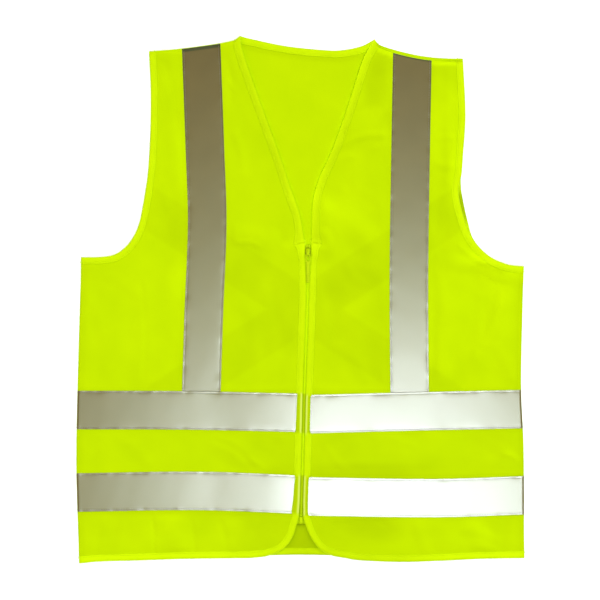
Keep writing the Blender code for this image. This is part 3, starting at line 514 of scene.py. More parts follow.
class Wire:
    """An output socket of a node tree. A wire with no socket only starts a tree."""

    def __init__(self, tree, socket=None):
        self.tree = tree
        self.socket = socket

    def node(self, kind, settings=None, values=None, output=0):
        """Adds a node: its settings first, then its inputs, each a value or a wire. Gives one output."""
        made = self.tree.nodes.new(kind)
        for name, value in (settings or {}).items():
            setattr(made, name, value)
        for key, value in (values or {}).items():
            if isinstance(value, Wire):
                self.tree.links.new(value.socket, made.inputs[key])
            else:
                made.inputs[key].default_value = value
        return Wire(self.tree, made.outputs[output])

    def maths(self, operation, *values):
        return self.node("ShaderNodeMath", {"operation": operation}, dict(enumerate(values)))

    def mix(self, low, high):
        """Mixes two colours, with this wire as the share of the second."""
        return self.node("ShaderNodeMix", {"data_type": "RGBA"}, {0: self, 6: low, 7: high}, 2)

    def dimmed(self, share):
        """This colour times a share."""
        return self.node("ShaderNodeVectorMath", {"operation": "SCALE"}, {0: self, "Scale": share})

    def clamped(self, low, high):
        """0 at low and 1 at high, and never beyond."""
        values = {"Value": self, "From Min": low, "From Max": high}
        return self.node("ShaderNodeMapRange", {"interpolation_type": "SMOOTHSTEP"}, values)

    def wave(self):
        """Sine waves between 0 and 1, one for each unit."""
        return (self * (2 * math.pi)).maths("SINE") * 0.5 + 0.5

    def axes(self):
        """The X, Y and Z of this place, each as a wire."""
        parts = self.node("ShaderNodeSeparateXYZ", None, {0: self})
        return [Wire(self.tree, socket) for socket in parts.socket.node.outputs]

    def __add__(self, other):
        return self.maths("ADD", self, other)

    def __sub__(self, other):
        return self.maths("SUBTRACT", self, other)

    def __mul__(self, other):
        return self.maths("MULTIPLY", self, other)

    def __truediv__(self, other):
        return self.maths("DIVIDE", self, other)

    def __rsub__(self, other):
        return self.maths("SUBTRACT", other, self)

    __radd__ = __add__
    __rmul__ = __mul__


sample = bpy.data.node_groups.new("sample", "ShaderNodeTree")
answer = 1 - Wire(sample).node("ShaderNodeValue") * 2
print("1 - value * 2 made", len(sample.nodes), "nodes and ends in", answer.socket.node.operation)
bpy.data.node_groups.remove(sample)

# %% [markdown]
# ## Starting a material
# Every finish has the same skeleton: one Principled shader, its uniform values set on the shader's own
# sockets, and a few wires into the sockets that vary. These helpers make that skeleton, so the recipes
# that follow can stay short. The place is the object's own, in metres, so patterns keep their real size.

# %% Material helpers


def new_material(name, **constants):
    """A material with one Principled shader, its uniform values set on the shader's own sockets."""
    made = bpy.data.materials.new(name)
    made.use_nodes = True
    shader = made.node_tree.nodes["Principled BSDF"]
    for key, value in constants.items():
        shader.inputs[key.replace("_", " ")].default_value = value
    return made, Wire(made.node_tree), shader


def join(wire, socket):
    wire.tree.links.new(wire.socket, socket)


def object_place(start):
    return start.node("ShaderNodeTexCoord", output="Object")


def noise(place, scale, detail):
    return place.node("ShaderNodeTexNoise", None, {"Vector": place, "Scale": scale, "Detail": detail})


def diagonal_waves(place, scale):
    settings = {"bands_direction": "DIAGONAL"}
    return place.node("ShaderNodeTexWave", settings, {"Vector": place, "Scale": scale})


def attribute(start, name):
    """A number that each point of the mesh carries."""
    return start.node("ShaderNodeAttribute", {"attribute_name": name}, output="Fac")


def bump(height, distance, strength):
    values = {"Height": height, "Distance": distance, "Strength": strength}
    return height.node("ShaderNodeBump", None, values)


print("a new material starts as", [node.name for node in new_material("sample")[0].node_tree.nodes])
bpy.data.materials.remove(bpy.data.materials["sample"])

# %% [markdown]
# ## Warp-knit cloth
# The cloth is a fluorescent polyester knit. Its dye turns blue light into green and yellow, so it looks
# almost lit from inside: no blue comes back, and its shine is tinted as well. Close up it is columns of
# tiny V-shaped loops. The loops are worked out from the position in the cloth, with a fold of the column
# number that makes the V; they raise the bump, and the dips between them get a little painted shade. A
# point attribute called tone carries what a dye recipe can't know: where the back tapes show through the
# thin fabric and where a seam allowance doubles it. It also carries painted shade and painted light: soft
# patches over the folds, the folds' slope towards the lamps, and shade beside the tapes.

# %% Cloth and binding materials
LIME = (0.572, 0.768, 0.0005, 1.0)
LIME_DEEP_AND_DIP_SHADE = (0.484, 0.682, 0.0003, 1.0)
BINDING_LIME = (0.65, 0.868, 0.002, 1.0)
BINDING_DEEP_AND_DIP_SHADE = (0.55, 0.762, 0.001, 1.0)
BINDING_PAINTED_HIGHLIGHT = (0.8, 0.92, 0.16, 1.0)
WALE = 1.25 * MM  # from one column of loops to the next
COURSE = 1.0 * MM  # from one row of loops to the next


def knit_height(place, wale, course):
    """Columns of V-shaped loops, from 0 in the dips to 1 on the loops."""
    x, y, _ = place.axes()
    column = ((x / wale).maths("FRACT") - 0.5).maths("ABSOLUTE")
    return (y / course + column).wave() * (1 - column * 1.4)


def cloth_material():
    made, start, shader = new_material(
        "warp_knit", Roughness=0.82, Specular_IOR_Level=0.25, Specular_Tint=(0.75, 1.0, 0.02, 1.0),
        Sheen_Weight=0.12, Sheen_Roughness=0.5, Sheen_Tint=(0.8, 1.0, 0.05, 1.0))
    place = object_place(start)
    knit = knit_height(place, WALE, COURSE)
    cloud, fuzz = noise(place, 22.0, 3.0), noise(place, 900.0, 2.0)
    # painted shade in the dips between the loops, with random cloudiness and fuzz
    share = knit * 0.5 + cloud * 0.7 + fuzz * 0.25 - 0.3
    colour = share.clamped(0.0, 1.0).mix(LIME_DEEP_AND_DIP_SHADE, LIME)
    join(colour.dimmed(attribute(start, "tone")), shader.inputs["Base Color"])
    join(bump(knit * 0.6 + fuzz * 0.5, 0.16 * MM, 0.7), shader.inputs["Normal"])
    return made


def binding_material():
    made, start, shader = new_material(
        "knit_binding", Roughness=0.75, Specular_IOR_Level=0.3, Specular_Tint=(0.75, 1.0, 0.03, 1.0),
        Sheen_Weight=0.15, Sheen_Roughness=0.45, Sheen_Tint=(0.8, 1.0, 0.05, 1.0))
    place = start.node("ShaderNodeTexCoord", output="UV")  # millimetres round and along the strip
    rib = knit_height(place, 0.9, 0.8)
    # painted shade in the dips of the rib, with random cloudiness
    share = rib * 0.55 + noise(place, 0.035, 3.0) * 0.8 - 0.2
    colour = share.clamped(0.0, 1.0).mix(BINDING_DEEP_AND_DIP_SHADE, BINDING_LIME)
    # the pale attribute mixes in a painted highlight
    colour = attribute(start, "pale").mix(colour, BINDING_PAINTED_HIGHLIGHT)
    join(colour.dimmed(attribute(start, "tone")), shader.inputs["Base Color"])
    join(bump(rib, 0.14 * MM, 0.7), shader.inputs["Normal"])
    return made


CLOTH_FINISH = cloth_material()
BINDING_FINISH = binding_material()
print("the knit has", round(0.01 / WALE), "columns and", round(0.01 / COURSE), "rows in a centimetre")

# %% [markdown]
# ## Reflective tape
# Reflective tape is a grey fabric covered with glass beads a twentieth of a millimetre across. Seen
# square on, each bead throws light back in a narrow cone, so the tape is dull olive grey away from the
# light and white where it mirrors the lamp. A dark base under two shines does the same: a wide yellowish
# one for light that crosses the beads and the glue behind them, and a narrower, neutral coat for their
# glass faces. A sheen keeps it silver grey from the side. Where an end is turned down into a seam, an
# attribute paints shade on it: it takes the colour and the coat away.

# %% Tape material
TAPE_DARK = (0.086, 0.038, 0.001, 1.0)
TAPE_LIGHT = (0.11, 0.052, 0.003, 1.0)
TAPE_TURNED_SHADE = (0.016, 0.01, 0.0002, 1.0)


def tape_material():
    made, start, shader = new_material(
        "bead_tape", IOR=1.75, Specular_Tint=(0.84, 1.0, 0.36, 1.0), Coat_IOR=1.5, Coat_Roughness=0.243,
        Sheen_Weight=1.0, Sheen_Roughness=0.45, Sheen_Tint=(0.95, 1.0, 0.9, 1.0))
    place = object_place(start)
    weave = diagonal_waves(place, 260.0) * 0.5 + noise(place, 2600.0, 2.0) * 0.5
    shade = (noise(place, 30.0, 4.0) * 0.8 + weave * 0.3 - 0.1).clamped(0.0, 1.0)
    # the turned attribute paints shade on the braces' upper ends: dark colour and almost no coat
    turned = attribute(start, "turned")
    join(turned.mix(shade.mix(TAPE_DARK, TAPE_LIGHT), TAPE_TURNED_SHADE), shader.inputs["Base Color"])
    join(0.9 - turned * 0.85, shader.inputs["Coat Weight"])
    join(shade * 0.03 + 0.354, shader.inputs["Roughness"])
    join(bump(weave, 0.02 * MM, 0.5), shader.inputs["Normal"])
    return made


TAPE_FINISH = tape_material()
print(TAPE_FINISH.name, "has", len(TAPE_FINISH.node_tree.nodes), "nodes")

# %% [markdown]
# ## Zip, thread and paint
# All of them are dyed to match the cloth, so they differ mostly in how they shine. The zip's tape is a
# plain weave, worked out from sines across and along it. The coil gets painted shade in its dips, by its
# own height. Thread is twisted, which diagonal waves show, and the enamel gets a painted highlight on
# raised edges and painted shade in its hollows, with a little random wear.

# %% Zip, thread and paint materials
ZIP_RIB = 0.9 * MM
ZIP_PICK = 0.6 * MM


def zip_tape_material():
    made, start, shader = new_material("woven_zip_tape", Roughness=0.7, Specular_IOR_Level=0.3,
                                       Specular_Tint=(0.8, 1.0, 0.1, 1.0))
    x, y, _ = object_place(start).axes()
    weave = (x / ZIP_RIB).wave() * 0.6 + (y / ZIP_PICK).wave() * 0.4
    join(weave.mix((0.52, 0.72, 0.001, 1.0), (0.64, 0.86, 0.002, 1.0)), shader.inputs["Base Color"])
    join(bump(weave, 0.12 * MM, 0.8), shader.inputs["Normal"])
    return made


def coil_material():
    made, start, shader = new_material("coil_filament", Roughness=0.45, Specular_IOR_Level=0.35,
                                       Specular_Tint=(0.8, 1.0, 0.03, 1.0))
    place = object_place(start)
    # painted shade in the coil's dips, by its height, with a little noise
    share = (place.axes()[2] / MM * 0.7 - 3.1 + noise(place, 400.0, 2.0) * 0.5).clamped(0.0, 1.0)
    colour = share.mix((0.46, 0.64, 0.0005, 1.0), (0.6, 0.84, 0.001, 1.0))
    join(colour.dimmed(attribute(start, "tone")), shader.inputs["Base Color"])
    return made


def thread_material(name, dark, light, shine, roughness):
    made, start, shader = new_material(name, Roughness=roughness, IOR=1.7, Specular_Tint=(*shine, 1.0))
    twist = diagonal_waves(object_place(start), 900.0)
    join(twist.mix((*dark, 1.0), (*light, 1.0)), shader.inputs["Base Color"])
    join(bump(twist, 0.05 * MM, 0.6), shader.inputs["Normal"])
    return made


def paint_material():
    made, start, shader = new_material("enamelled_zinc", Roughness=0.5, Specular_IOR_Level=0.3,
                                       Specular_Tint=(0.85, 1.0, 0.06, 1.0))
    worn = noise(object_place(start), 700.0, 4.0)
    # painted highlight on raised edges and painted shade in hollows, by pointiness, with a little random
    # wear
    edges = start.node("ShaderNodeNewGeometry", output="Pointiness")
    share = (edges * 6.0 - 2.6 + worn * 0.5).clamped(0.0, 1.0)
    colour = share.mix((0.42, 0.58, 0.001, 1.0), (0.6, 0.8, 0.004, 1.0))
    join(colour.dimmed(attribute(start, "tone")), shader.inputs["Base Color"])
    join(bump(worn, 0.03 * MM, 0.5), shader.inputs["Normal"])
    return made


ZIP_TAPE_FINISH = zip_tape_material()
COIL_FINISH = coil_material()
PAINT_FINISH = paint_material()
LIME_THREAD = thread_material("lime_thread", (0.46, 0.63, 0.0005), (0.6, 0.82, 0.001),
                              (0.8, 1.0, 0.02), 0.6)
GREY_THREAD = thread_material("grey_thread", (0.14, 0.125, 0.08), (0.21, 0.19, 0.13),
                              (1.0, 1.0, 0.9), 0.36)
print("finishes:", [made.name for made in bpy.data.materials if made.users == 0])

# %% [markdown]
# ## Meshes from arrays
# All pieces are made from plain arrays of points in millimetres. One helper turns them into a
# smooth-shaded object, gives it its finish and its point attributes, hangs it on the body it rides on,
# and hides the solid it stands for. A strip is a section repeated at stations, and its faces follow
# from the numbering alone.

# %% Turning arrays into pieces


def add_object(name, data):
    made = bpy.data.objects.new(name, data)
    bpy.context.scene.collection.objects.link(made)
    return made


def add_piece(name, points, faces, finish, node, body="vest", attributes=None, uv=None):
    """A smooth-shaded mesh object that rides on a body and stands for a solid."""
    mesh = bpy.data.meshes.new(name)
    mesh.from_pydata(np.asarray(points) * MM, [], faces)
    mesh.materials.append(finish)
    for key, values in (attributes or {}).items():
        mesh.attributes.new(key, "FLOAT", "POINT").data.foreach_set("value", np.asarray(values, np.float32))
    if uv is not None:
        layer = mesh.uv_layers.new(name="UVMap")
        corners = np.zeros(len(mesh.loops), np.int32)
        mesh.loops.foreach_get("vertex_index", corners)
        layer.data.foreach_set("uv", np.asarray(uv, np.float32)[corners].ravel())
    mesh.shade_smooth()
    made = add_object(name, mesh)
    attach(made, body)
    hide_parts(node)
    return made


def strip_faces(stations, width):
    """The faces round a section of so many points, swept through so many stations."""
    station, index = np.divmod(np.arange((stations - 1) * width), width)
    here, following = station * width + index, station * width + (index + 1) % width
    return np.column_stack([here, following, following + width, here + width]).tolist()


def end_faces(stations, width):
    return [tuple(range(width))[::-1], tuple(range((stations - 1) * width, stations * width))]


def outward_faces(made):
    """Turns a closed piece's faces out, by the sign of its volume."""
    mesh = made.data
    mesh.calc_loop_triangles()
    corners = np.zeros(len(mesh.loop_triangles) * 3, np.int32)
    mesh.loop_triangles.foreach_get("vertices", corners)
    points = np.zeros(len(mesh.vertices) * 3, np.float32)
    mesh.vertices.foreach_get("co", points)
    a, b, c = (points.reshape(-1, 3)[corners.reshape(-1, 3)[:, index]] for index in range(3))
    if np.einsum("ij,ij->i", a, np.cross(b, c)).sum() < 0:
        mesh.flip_normals()


print("a bar of 3 square stations has", len(strip_faces(3, 4) + end_faces(3, 4)), "faces")

# %% [markdown]
# ## Sheets of cloth
# A panel is filled with even triangles inside its outline, because a soft, wrinkled sheet bends equally
# well every way across them. The sheet is then closed underneath, and its cut edges are rounded by two
# rows of points, because a knife-sharp rim is the first thing that gives modelled cloth away.

# %% Triangles and shells
RIM_SHARES = (0.72, 0.28)  # heights of the rows of points that round a rim


def rim_of(triangles):
    """The directed edges round a set of triangles, in order as a loop of corners."""
    edges = {}
    for a, b, c in triangles:
        for pair in ((a, b), (b, c), (c, a)):
            if pair[::-1] in edges:
                del edges[pair[::-1]]
            else:
                edges[pair] = True
    following = {a: b for a, b in edges}
    loop = [next(iter(following))]
    while following[loop[-1]] != loop[0]:
        loop.append(following[loop[-1]])
    return loop


def double_area(a, b, c):
    """Twice the area of triangles, positive where they turn left."""
    ab, ac = b - a, c - a
    return ab[..., 0] * ac[..., 1] - ab[..., 1] * ac[..., 0]


def triangulated(outline, spacing, clearance):
    """Even triangles within an outline, as points and triangles that turn left."""
    low, high = outline.min(axis=0), outline.max(axis=0)
    row_height = spacing * math.sqrt(3) / 2
    rows = []
    for number, y in enumerate(np.arange(low[1], high[1], row_height)):
        x = np.arange(low[0] + spacing / 2 * (number % 2), high[0], spacing)
        rows.append(np.column_stack([x, np.full(len(x), y)]))
    grid = np.vstack(rows)
    grid = grid[inside(grid, outline)]
    closed = np.vstack([outline, outline[:1]])
    grid = grid[away_from(grid, closed) > clearance]
    points = [tuple(point) for point in np.vstack([outline, grid])]
    edges = [(index, (index + 1) % len(outline)) for index in range(len(outline))]
    made, _, faces = delaunay_2d_cdt(points, edges, [], 0, 0.01)[:3]
    plan = np.array([tuple(point) for point in made])
    faces = np.array(faces)
    a, b, c = plan[faces[:, 0]], plan[faces[:, 1]], plan[faces[:, 2]]
    turn = double_area(a, b, c)
    faces[turn < 0] = faces[turn < 0][:, ::-1]
    return plan, faces[inside((a + b + c) / 3, outline) & (np.abs(turn) > 0.01)]


def shell(plan, triangles, underside, thickness, rounding):
    """A closed sheet over a triangulated plan, with a rounded rim."""
    count = len(plan)
    loop = np.array(rim_of(triangles.tolist()))
    before, after = np.roll(loop, 1), np.roll(loop, -1)
    way = plan[after] - plan[before]
    way /= np.linalg.norm(way, axis=1)[:, None]
    outward = np.column_stack([way[:, 1], -way[:, 0]])
    top = np.column_stack([plan, underside + thickness])
    bottom = np.column_stack([plan, underside])
    for sheet in (top, bottom):
        sheet[loop, :2] -= outward * rounding
    ridge = [np.column_stack([plan[loop], underside[loop] + thickness * share]) for share in RIM_SHARES]
    points = np.vstack([top, bottom] + ridge)
    faces = triangles.tolist() + (triangles[:, ::-1] + count).tolist()
    upper_rim = np.arange(len(loop)) + 2 * count
    rows = [loop, upper_rim, upper_rim + len(loop), loop + count]
    for upper, lower in zip(rows, rows[1:]):
        following, under = np.roll(upper, -1), np.roll(lower, -1)
        faces += np.column_stack([lower, under, following, upper]).tolist()
    return points, faces


print("a 30 mm square at 4 mm has", len(triangulated(SQUARE, 4, 1.6)[1]), "triangles")

# %% [markdown]
# ## Cut lines
# Each panel is cut 1.3 mm short of the finished edge where a binding wraps it, and exactly on the line at
# its side and shoulder seams. Every bound edge keeps its way inward with it, because its binding, its cut
# line and the ends of the bands all need it.

# %% Bound edges
CUT = LAYER


def bound_edge(line, first, last, turn):
    return {"line": line, "in": inward(line, first, last, turn)}


def front_edges(side_name, side):
    """Every bound edge of a front, with its way inward, and its seams."""
    side_line, shoulder = edge("side_" + side_name), edge("shoulder_" + side_name)
    neck, rest = opening(side_name, side)
    whole = np.vstack([neck, rest[1:]])
    down = side_line[-2] - side_line[-1]
    turn = float(side)
    armhole = bound_edge(edge("armhole_" + side_name), down, shoulder[1] - shoulder[0], turn)
    steps = inward(whole, shoulder[-2] - shoulder[-1], side_line[1] - side_line[0], turn)
    return {"armhole": armhole, "opening": {"line": whole, "in": steps}, "neck_count": len(neck),
            "side": side_line, "shoulder": shoulder}


def back_edges():
    sides = {name: edge("side_" + name) for name in SIDES}
    shoulders = {"right": edge("shoulder_right"), "left": edge("back_shoulder_left")}
    armholes = {"right": edge("armhole_right"), "left": edge("back_armhole_left")}
    made = {"sides": sides, "shoulders": shoulders}
    for name, side in SIDES.items():
        made["armhole_" + name] = bound_edge(armholes[name], sides[name][-2] - sides[name][-1],
                                             shoulders[name][1] - shoulders[name][0], float(side))
    neck = edge("back_neck")
    made["neck"] = bound_edge(neck, shoulders["left"][-2] - shoulders["left"][-1],
                              shoulders["right"][-2] - shoulders["right"][-1], 1.0)
    made["hem"] = bound_edge(edge("back_hem"), (0, 1), (0, 1), 1.0)
    return made


def cut_line(bound, distance=CUT):
    return bound["line"] + bound["in"] * distance


def between(line, start, end, gap=2.4):
    """The points of a seam that are clear of the ends it is joined at."""
    keep = (np.linalg.norm(line - start, axis=1) > gap) & (np.linalg.norm(line - end, axis=1) > gap)
    return line[keep]


FRONT_EDGES = {name: front_edges(name, side) for name, side in SIDES.items()}
BACK_EDGES = back_edges()
print("bound edges of the back:", [name for name, bound in BACK_EDGES.items() if "line" in bound])

# %% [markdown]
# ## Soft shades
# Thin cloth shows what lies under it: the back's tapes darken the fronts a little, as a shadow in a
# curtain does. The table below paints light and shade over the folds: each row is one oval patch, painted
# shade where its depth is below zero and painted light where it is above.

# %% Shades
PAINTED_SHADE_PATCHES = [
    # x, y, half width, half height, turn in degrees, depth
    (0, -300, 150, 56, 0, -0.075), (98, -294, 44, 28, 0, -0.075), (-91, -300, 36, 28, 0, 0.04),
    (0, -196, 140, 44, 0, -0.045), (247, -184, 40, 26, 10, -0.045), (222, 10, 96, 175, 0, 0.045),
    (194, 206, 34, 95, 0, 0.05), (248, 45, 66, 20, -14, 0.1), (-216, 0, 84, 140, 0, 0.025),
    (-192, 180, 24, 130, 0, 0.02), (98, 284, 24, 46, -10, -0.075), (66, 24, 52, 28, 20, -0.045),
    (104, -40, 26, 96, 0, -0.035), (62, 106, 40, 36, -40, 0.03), (24, 124, 26, 22, 0, 0.04),
    (22, 84, 22, 14, -30, -0.07), (-148, 84, 30, 40, 30, -0.03), (-92, 20, 30, 22, 30, -0.025),
    (-76, 36, 60, 30, 30, -0.02), (-182, 310, 20, 26, 0, -0.04), (104, 308, 18, 26, 0, -0.045),
    (114, 234, 14, 18, 0, -0.06), (76, 270, 12, 20, 0, 0.05), (168, 220, 24, 50, 0, 0.05),
    (-156, 182, 24, 56, 0, 0.055), (-156, 24, 22, 32, 0, 0.06), (38, 108, 44, 22, -42, 0.09),
    (26, 60, 22, 16, 0, -0.05), (182, 50, 22, 26, 0, -0.05), (260, 12, 24, 26, 0, 0.05),
    (156, -52, 26, 56, 0, 0.055), (90, -222, 104, 14, 0, -0.11), (-26, -222, 26, 13, 0, -0.07),
    (221, -302, 38, 26, 0, 0.06), (-182, -300, 26, 26, 0, 0.055), (-13, 72, 13, 9, 0, 0.07),
    (216, 66, 34, 18, -56, 0.05), (196, 205, 8, 120, 1, 0.07), (28, 69, 9, 6, 0, 0.06),
    (166, 304, 14, 26, 0, -0.06),
]


def shade(points):
    """The sum of the patches of painted shade and painted light at each point."""
    total = np.zeros(len(points))
    for x, y, half_width, half_height, degrees, depth in PAINTED_SHADE_PATCHES:
        turn = math.radians(degrees)
        aside, up = (points - np.array([x, y])).T
        along = (aside * math.cos(turn) + up * math.sin(turn)) / half_width
        across = (up * math.cos(turn) - aside * math.sin(turn)) / half_height
        total += depth * ramp(np.hypot(along, across), 0.3, 1.1)
    return total


def through_tone(points, middles, depth):
    """A little darker where tapes behind the cloth show through it."""
    share = np.zeros(len(points))
    for middle in middles:
        away = away_from(points, smooth(middle, 60.0))
        share = np.maximum(share, ramp(away, TAPE / 2 - 1.0, TAPE / 2 + 4.0))
    return 1 - depth * share


print(len(PAINTED_SHADE_PATCHES), "patches, from", min(row[-1] for row in PAINTED_SHADE_PATCHES), "to", max(row[-1] for row in PAINTED_SHADE_PATCHES))

# %% [markdown]
# ## The fronts
# Now the parts come together: outline, triangles, level and tone. The relief itself adds painted shade
# and painted light to the tone, a little darker where the cloth turns away from the light, because the
# light here is too even to show such low folds. Each pattern's size is kept for later.

# %% Front panels
PANEL_SPACING = 4.0
PANEL_ROUNDING = 0.25
RELIEF_PAINTED_SHADE = 0.3
THROUGH_FRONT = 0.055
ALLOWANCE = 8.0  # the side seam's turned-in edge, which doubles the cloth
ALLOWANCE_TONE = 0.03
BESIDE_TAPE_PAINTED_SHADE = 0.02
SHOULDER_PALE = {"right": 0.05, "left": 0.2}  # how much paler the cloth is along each shoulder seam
CUTS = {}


def cut_size(plan, triangles):
    """Width, length and area of a pattern, in metres and square metres."""
    width, length = (plan.max(axis=0) - plan.min(axis=0)) * MM
    areas = double_area(*(plan[triangles[:, corner]] for corner in range(3))) / 2
    return float(width), float(length), float(areas.sum() * MM * MM)


def front_tone(surface, edges, pale, points):
    """The tone of a front: what lies under it, its seams, and painted shade and light from its folds and
    tapes.
    """
    # the patches add painted shade and painted light
    tone = through_tone(points, BACK_MIDDLES, THROUGH_FRONT) + shade(points)
    # painted shade where the relief turns away from the stronger light, painted light where it turns
    # towards it
    tone -= RELIEF_PAINTED_SHADE * surface.lean(points)
    tone -= ALLOWANCE_TONE * ramp(away_from(points, edges["side"]), ALLOWANCE - 2.0, ALLOWANCE + 4.0)
    tone += pale * ramp(away_from(points, edges["shoulder"]), 4.0, 8.0)
    # painted shade under and beside each tape's edge
    for middle in surface.tapes:
        tone -= BESIDE_TAPE_PAINTED_SHADE * ramp(away_from(points, smooth(middle, 60.0)), TAPE / 2, TAPE / 2 + 5.0)
    return tone


def add_panel(name, outline, surface, node, tone_of):
    """A panel from its outline, with the tone that a function gives its points."""
    plan, triangles = triangulated(outline, PANEL_SPACING, PANEL_SPACING * 0.45)
    points, faces = shell(plan, triangles, surface.level(plan), CLOTH, PANEL_ROUNDING)
    CUTS[name] = cut_size(plan, triangles)
    made = add_piece("cloth_" + name, points, faces, CLOTH_FINISH, node,
                     attributes={"tone": tone_of(plan, points[:, :2])})
    print(made.name, "has", len(faces), "faces")
    return made


def add_front(side_name):
    edges, surface = FRONT_EDGES[side_name], FRONTS[side_name]
    armhole, opened = cut_line(edges["armhole"]), cut_line(edges["opening"])
    outline = np.vstack([armhole, between(edges["shoulder"], armhole[-1], opened[0]), opened,
                         between(edges["side"], opened[-1], armhole[0])])

    def tone_of(plan, points):
        return front_tone(surface, edges, SHOULDER_PALE[side_name], points)

    return add_panel("front_" + side_name, outline, surface, "front_" + side_name, tone_of)


PANELS = {name: add_front(name) for name in SIDES}

# %% [markdown]
# ## The back
# The back's outline is closed from its hem, armholes, neck and seams. Only its inside face is shaded,
# where the neck and the notch at the foot of the zip look in on it: it gets painted shade there, where
# little light reaches it, a painted shadow below the neck binding, and painted light right beside the
# fronts' neck edges, against the shadow of their bindings.

# %% Back panel
THROUGH_BACK = 0.03
NECK_PAINTED_SHADOW = 0.075
NOTCH_PAINTED_SHADES = [
    # x, y, how flattened along Y, full to, ended at, depth
    (2.0, -306.0, 1.1, 20.0, 46.0, 0.25), (1.0, -290.0, 1.6, 4.0, 10.0, 0.2),
]
BESIDE_NECK_PAINTED_LIGHT = {"right": 0.08, "left": 0.12}


def back_tone(plan, points):
    """The tone of the inside face, which is listed first, with its painted shade and light, and no shading
    on the rest.
    """
    tone = through_tone(plan, BACK_MIDDLES, THROUGH_BACK)
    neck_away = away_from(plan, BACK_EDGES["neck"]["line"])
    # painted shadow below the back's neck binding
    tone -= NECK_PAINTED_SHADOW * ramp(neck_away, BINDING + 2.0, BINDING + 9.0)
    # painted shade in the notch at the foot of the zip
    for x, y, flattened, full, end, depth in NOTCH_PAINTED_SHADES:
        away = np.hypot(plan[:, 0] - x, (plan[:, 1] - y) * flattened)
        tone -= depth * ramp(away, full, end)
    # painted light beside the fronts' neck edges, against the shadow of their bindings
    for side_name, paler in BESIDE_NECK_PAINTED_LIGHT.items():
        tone += paler * ramp(away_from(plan, edge("neck_" + side_name, 12.0)), 0.8, 3.5)
    return np.concatenate([tone, np.ones(len(points) - len(plan))])


def add_back():
    edges = BACK_EDGES
    right_arm, left_arm = cut_line(edges["armhole_right"]), cut_line(edges["armhole_left"])
    neck, hem = cut_line(edges["neck"]), cut_line(edges["hem"])
    parts = [hem, between(edges["sides"]["left"], hem[-1], left_arm[0]), left_arm,
             between(edges["shoulders"]["left"], left_arm[-1], neck[0]), neck,
             between(edges["shoulders"]["right"], neck[-1], right_arm[-1])[::-1], right_arm[::-1],
             between(edges["sides"]["right"], right_arm[0], hem[0])[::-1]]
    return add_panel("back", np.vstack(parts), BACK, "back_panel", back_tone)


PANELS["back"] = add_back()

# %% [markdown]
# ## Folded bindings
# A binding is a strip of knit folded over the raw edge and stitched through all layers. Its section is a
# flat U: plump near the fold, pinched where the needle went. The section is a small table, and it is
# swept along the edge with the way inward at each point, so that it meets the shoulder and side seams
# squarely. More tables say where a strip lies wider, and where it is painted lighter or darker as light
# and shade.

# %% The section of a binding, and how each strip differs along its length
BINDING_SECTION = [
    # inward from the fold, above the panel's underside, share of the puff
    (9.0, 1.12, 0.0), (8.9, 1.5, 0.0), (8.45, 1.68, 0.3), (7.7, 1.62, 0.2), (7.1, 1.52, 0.0),
    (6.5, 1.72, 0.4), (5.4, 2.0, 0.9), (3.8, 2.2, 1.0), (2.2, 2.16, 0.8), (1.1, 1.9, 0.4), (0.4, 1.4, 0.1),
    (0.0, 0.5, 0.0), (0.4, -0.4, -0.1), (1.1, -0.85, -0.2), (2.2, -1.08, -0.3), (3.8, -1.12, -0.3),
    (5.4, -1.0, -0.3), (6.5, -0.75, -0.1), (7.1, -0.55, 0.0), (7.7, -0.62, 0.0), (8.45, -0.68, 0.0),
    (8.9, -0.5, 0.0), (9.0, -0.12, 0.0), (8.6, -0.04, 0.0), (1.7, -0.04, 0.0), (1.05, 0.5, 0.0),
    (1.7, 1.04, 0.0), (8.6, 1.04, 0.0),
]
OUTER_POINTS = 23  # the section's first points go round the outside, the rest along the inside
STITCH_POINTS = (4, 18)
# The inner point that is nearest to each outer one.
CAP_PARTNERS = [27] * 6 + [26] * 4 + [25] * 3 + [24] * 4 + [23] * 6
# Painted light and painted shade along each strip.
BINDING_LIGHT_AND_SHADE = {
    # share along the strip, tone
    "binding_neck_right": [(0, 0.95), (0.1, 0.91), (0.66, 0.89), (0.76, 0.95), (0.982, 0.95), (1, 1.08)],
    "binding_neck_left": [(0, 0.99), (0.18, 0.97), (0.4, 0.92), (0.62, 0.92), (0.76, 1.0), (0.88, 0.95),
                          (0.945, 0.9), (0.965, 0.86), (0.984, 0.88), (1, 1.06)],
    "binding_front_right": [(0, 1.08), (0.012, 1.06), (0.026, 0.98), (0.52, 0.96), (0.62, 0.99),
                            (0.7, 1.05), (1, 1.08)],
    "binding_front_left": [(0, 1.06), (0.012, 1.04), (0.026, 0.98), (0.54, 0.97), (0.62, 0.92),
                           (0.76, 0.93), (0.84, 1.05), (1, 1.08)],
    "binding_hem_back": [(0, 1.0), (0.44, 1.0), (0.47, 0.87), (0.54, 0.87), (0.57, 1.0), (1, 1.0)],
    "binding_armhole_front_right": [(0, 1.0), (0.5, 1.0), (1, 0.97)],
    "binding_armhole_front_left": [(0, 1.05), (0.3, 1.04), (0.5, 1.04), (0.7, 1.02), (1, 1.02)],
    "binding_armhole_back_left": [(0, 1.0), (0.31, 1.0), (0.35, 0.66), (0.43, 0.62), (0.47, 0.95),
                                  (1, 0.95)],
}
BINDING_WIDTHS = {
    # millimetres along the strip, share of the usual width
    "binding_neck_right": [(0, 1.12), (268, 1.12), (277, 1.5), (282, 1.75)],
    "binding_neck_left": [(0, 1.12), (266, 1.12), (275, 1.4), (280, 1.6)],
    "binding_front_right": [(0, 1.75), (4, 1.5), (9, 1.15), (22, 1.0)],
    "binding_front_left": [(0, 1.6), (4, 1.42), (9, 1.12), (22, 1.0)],
}
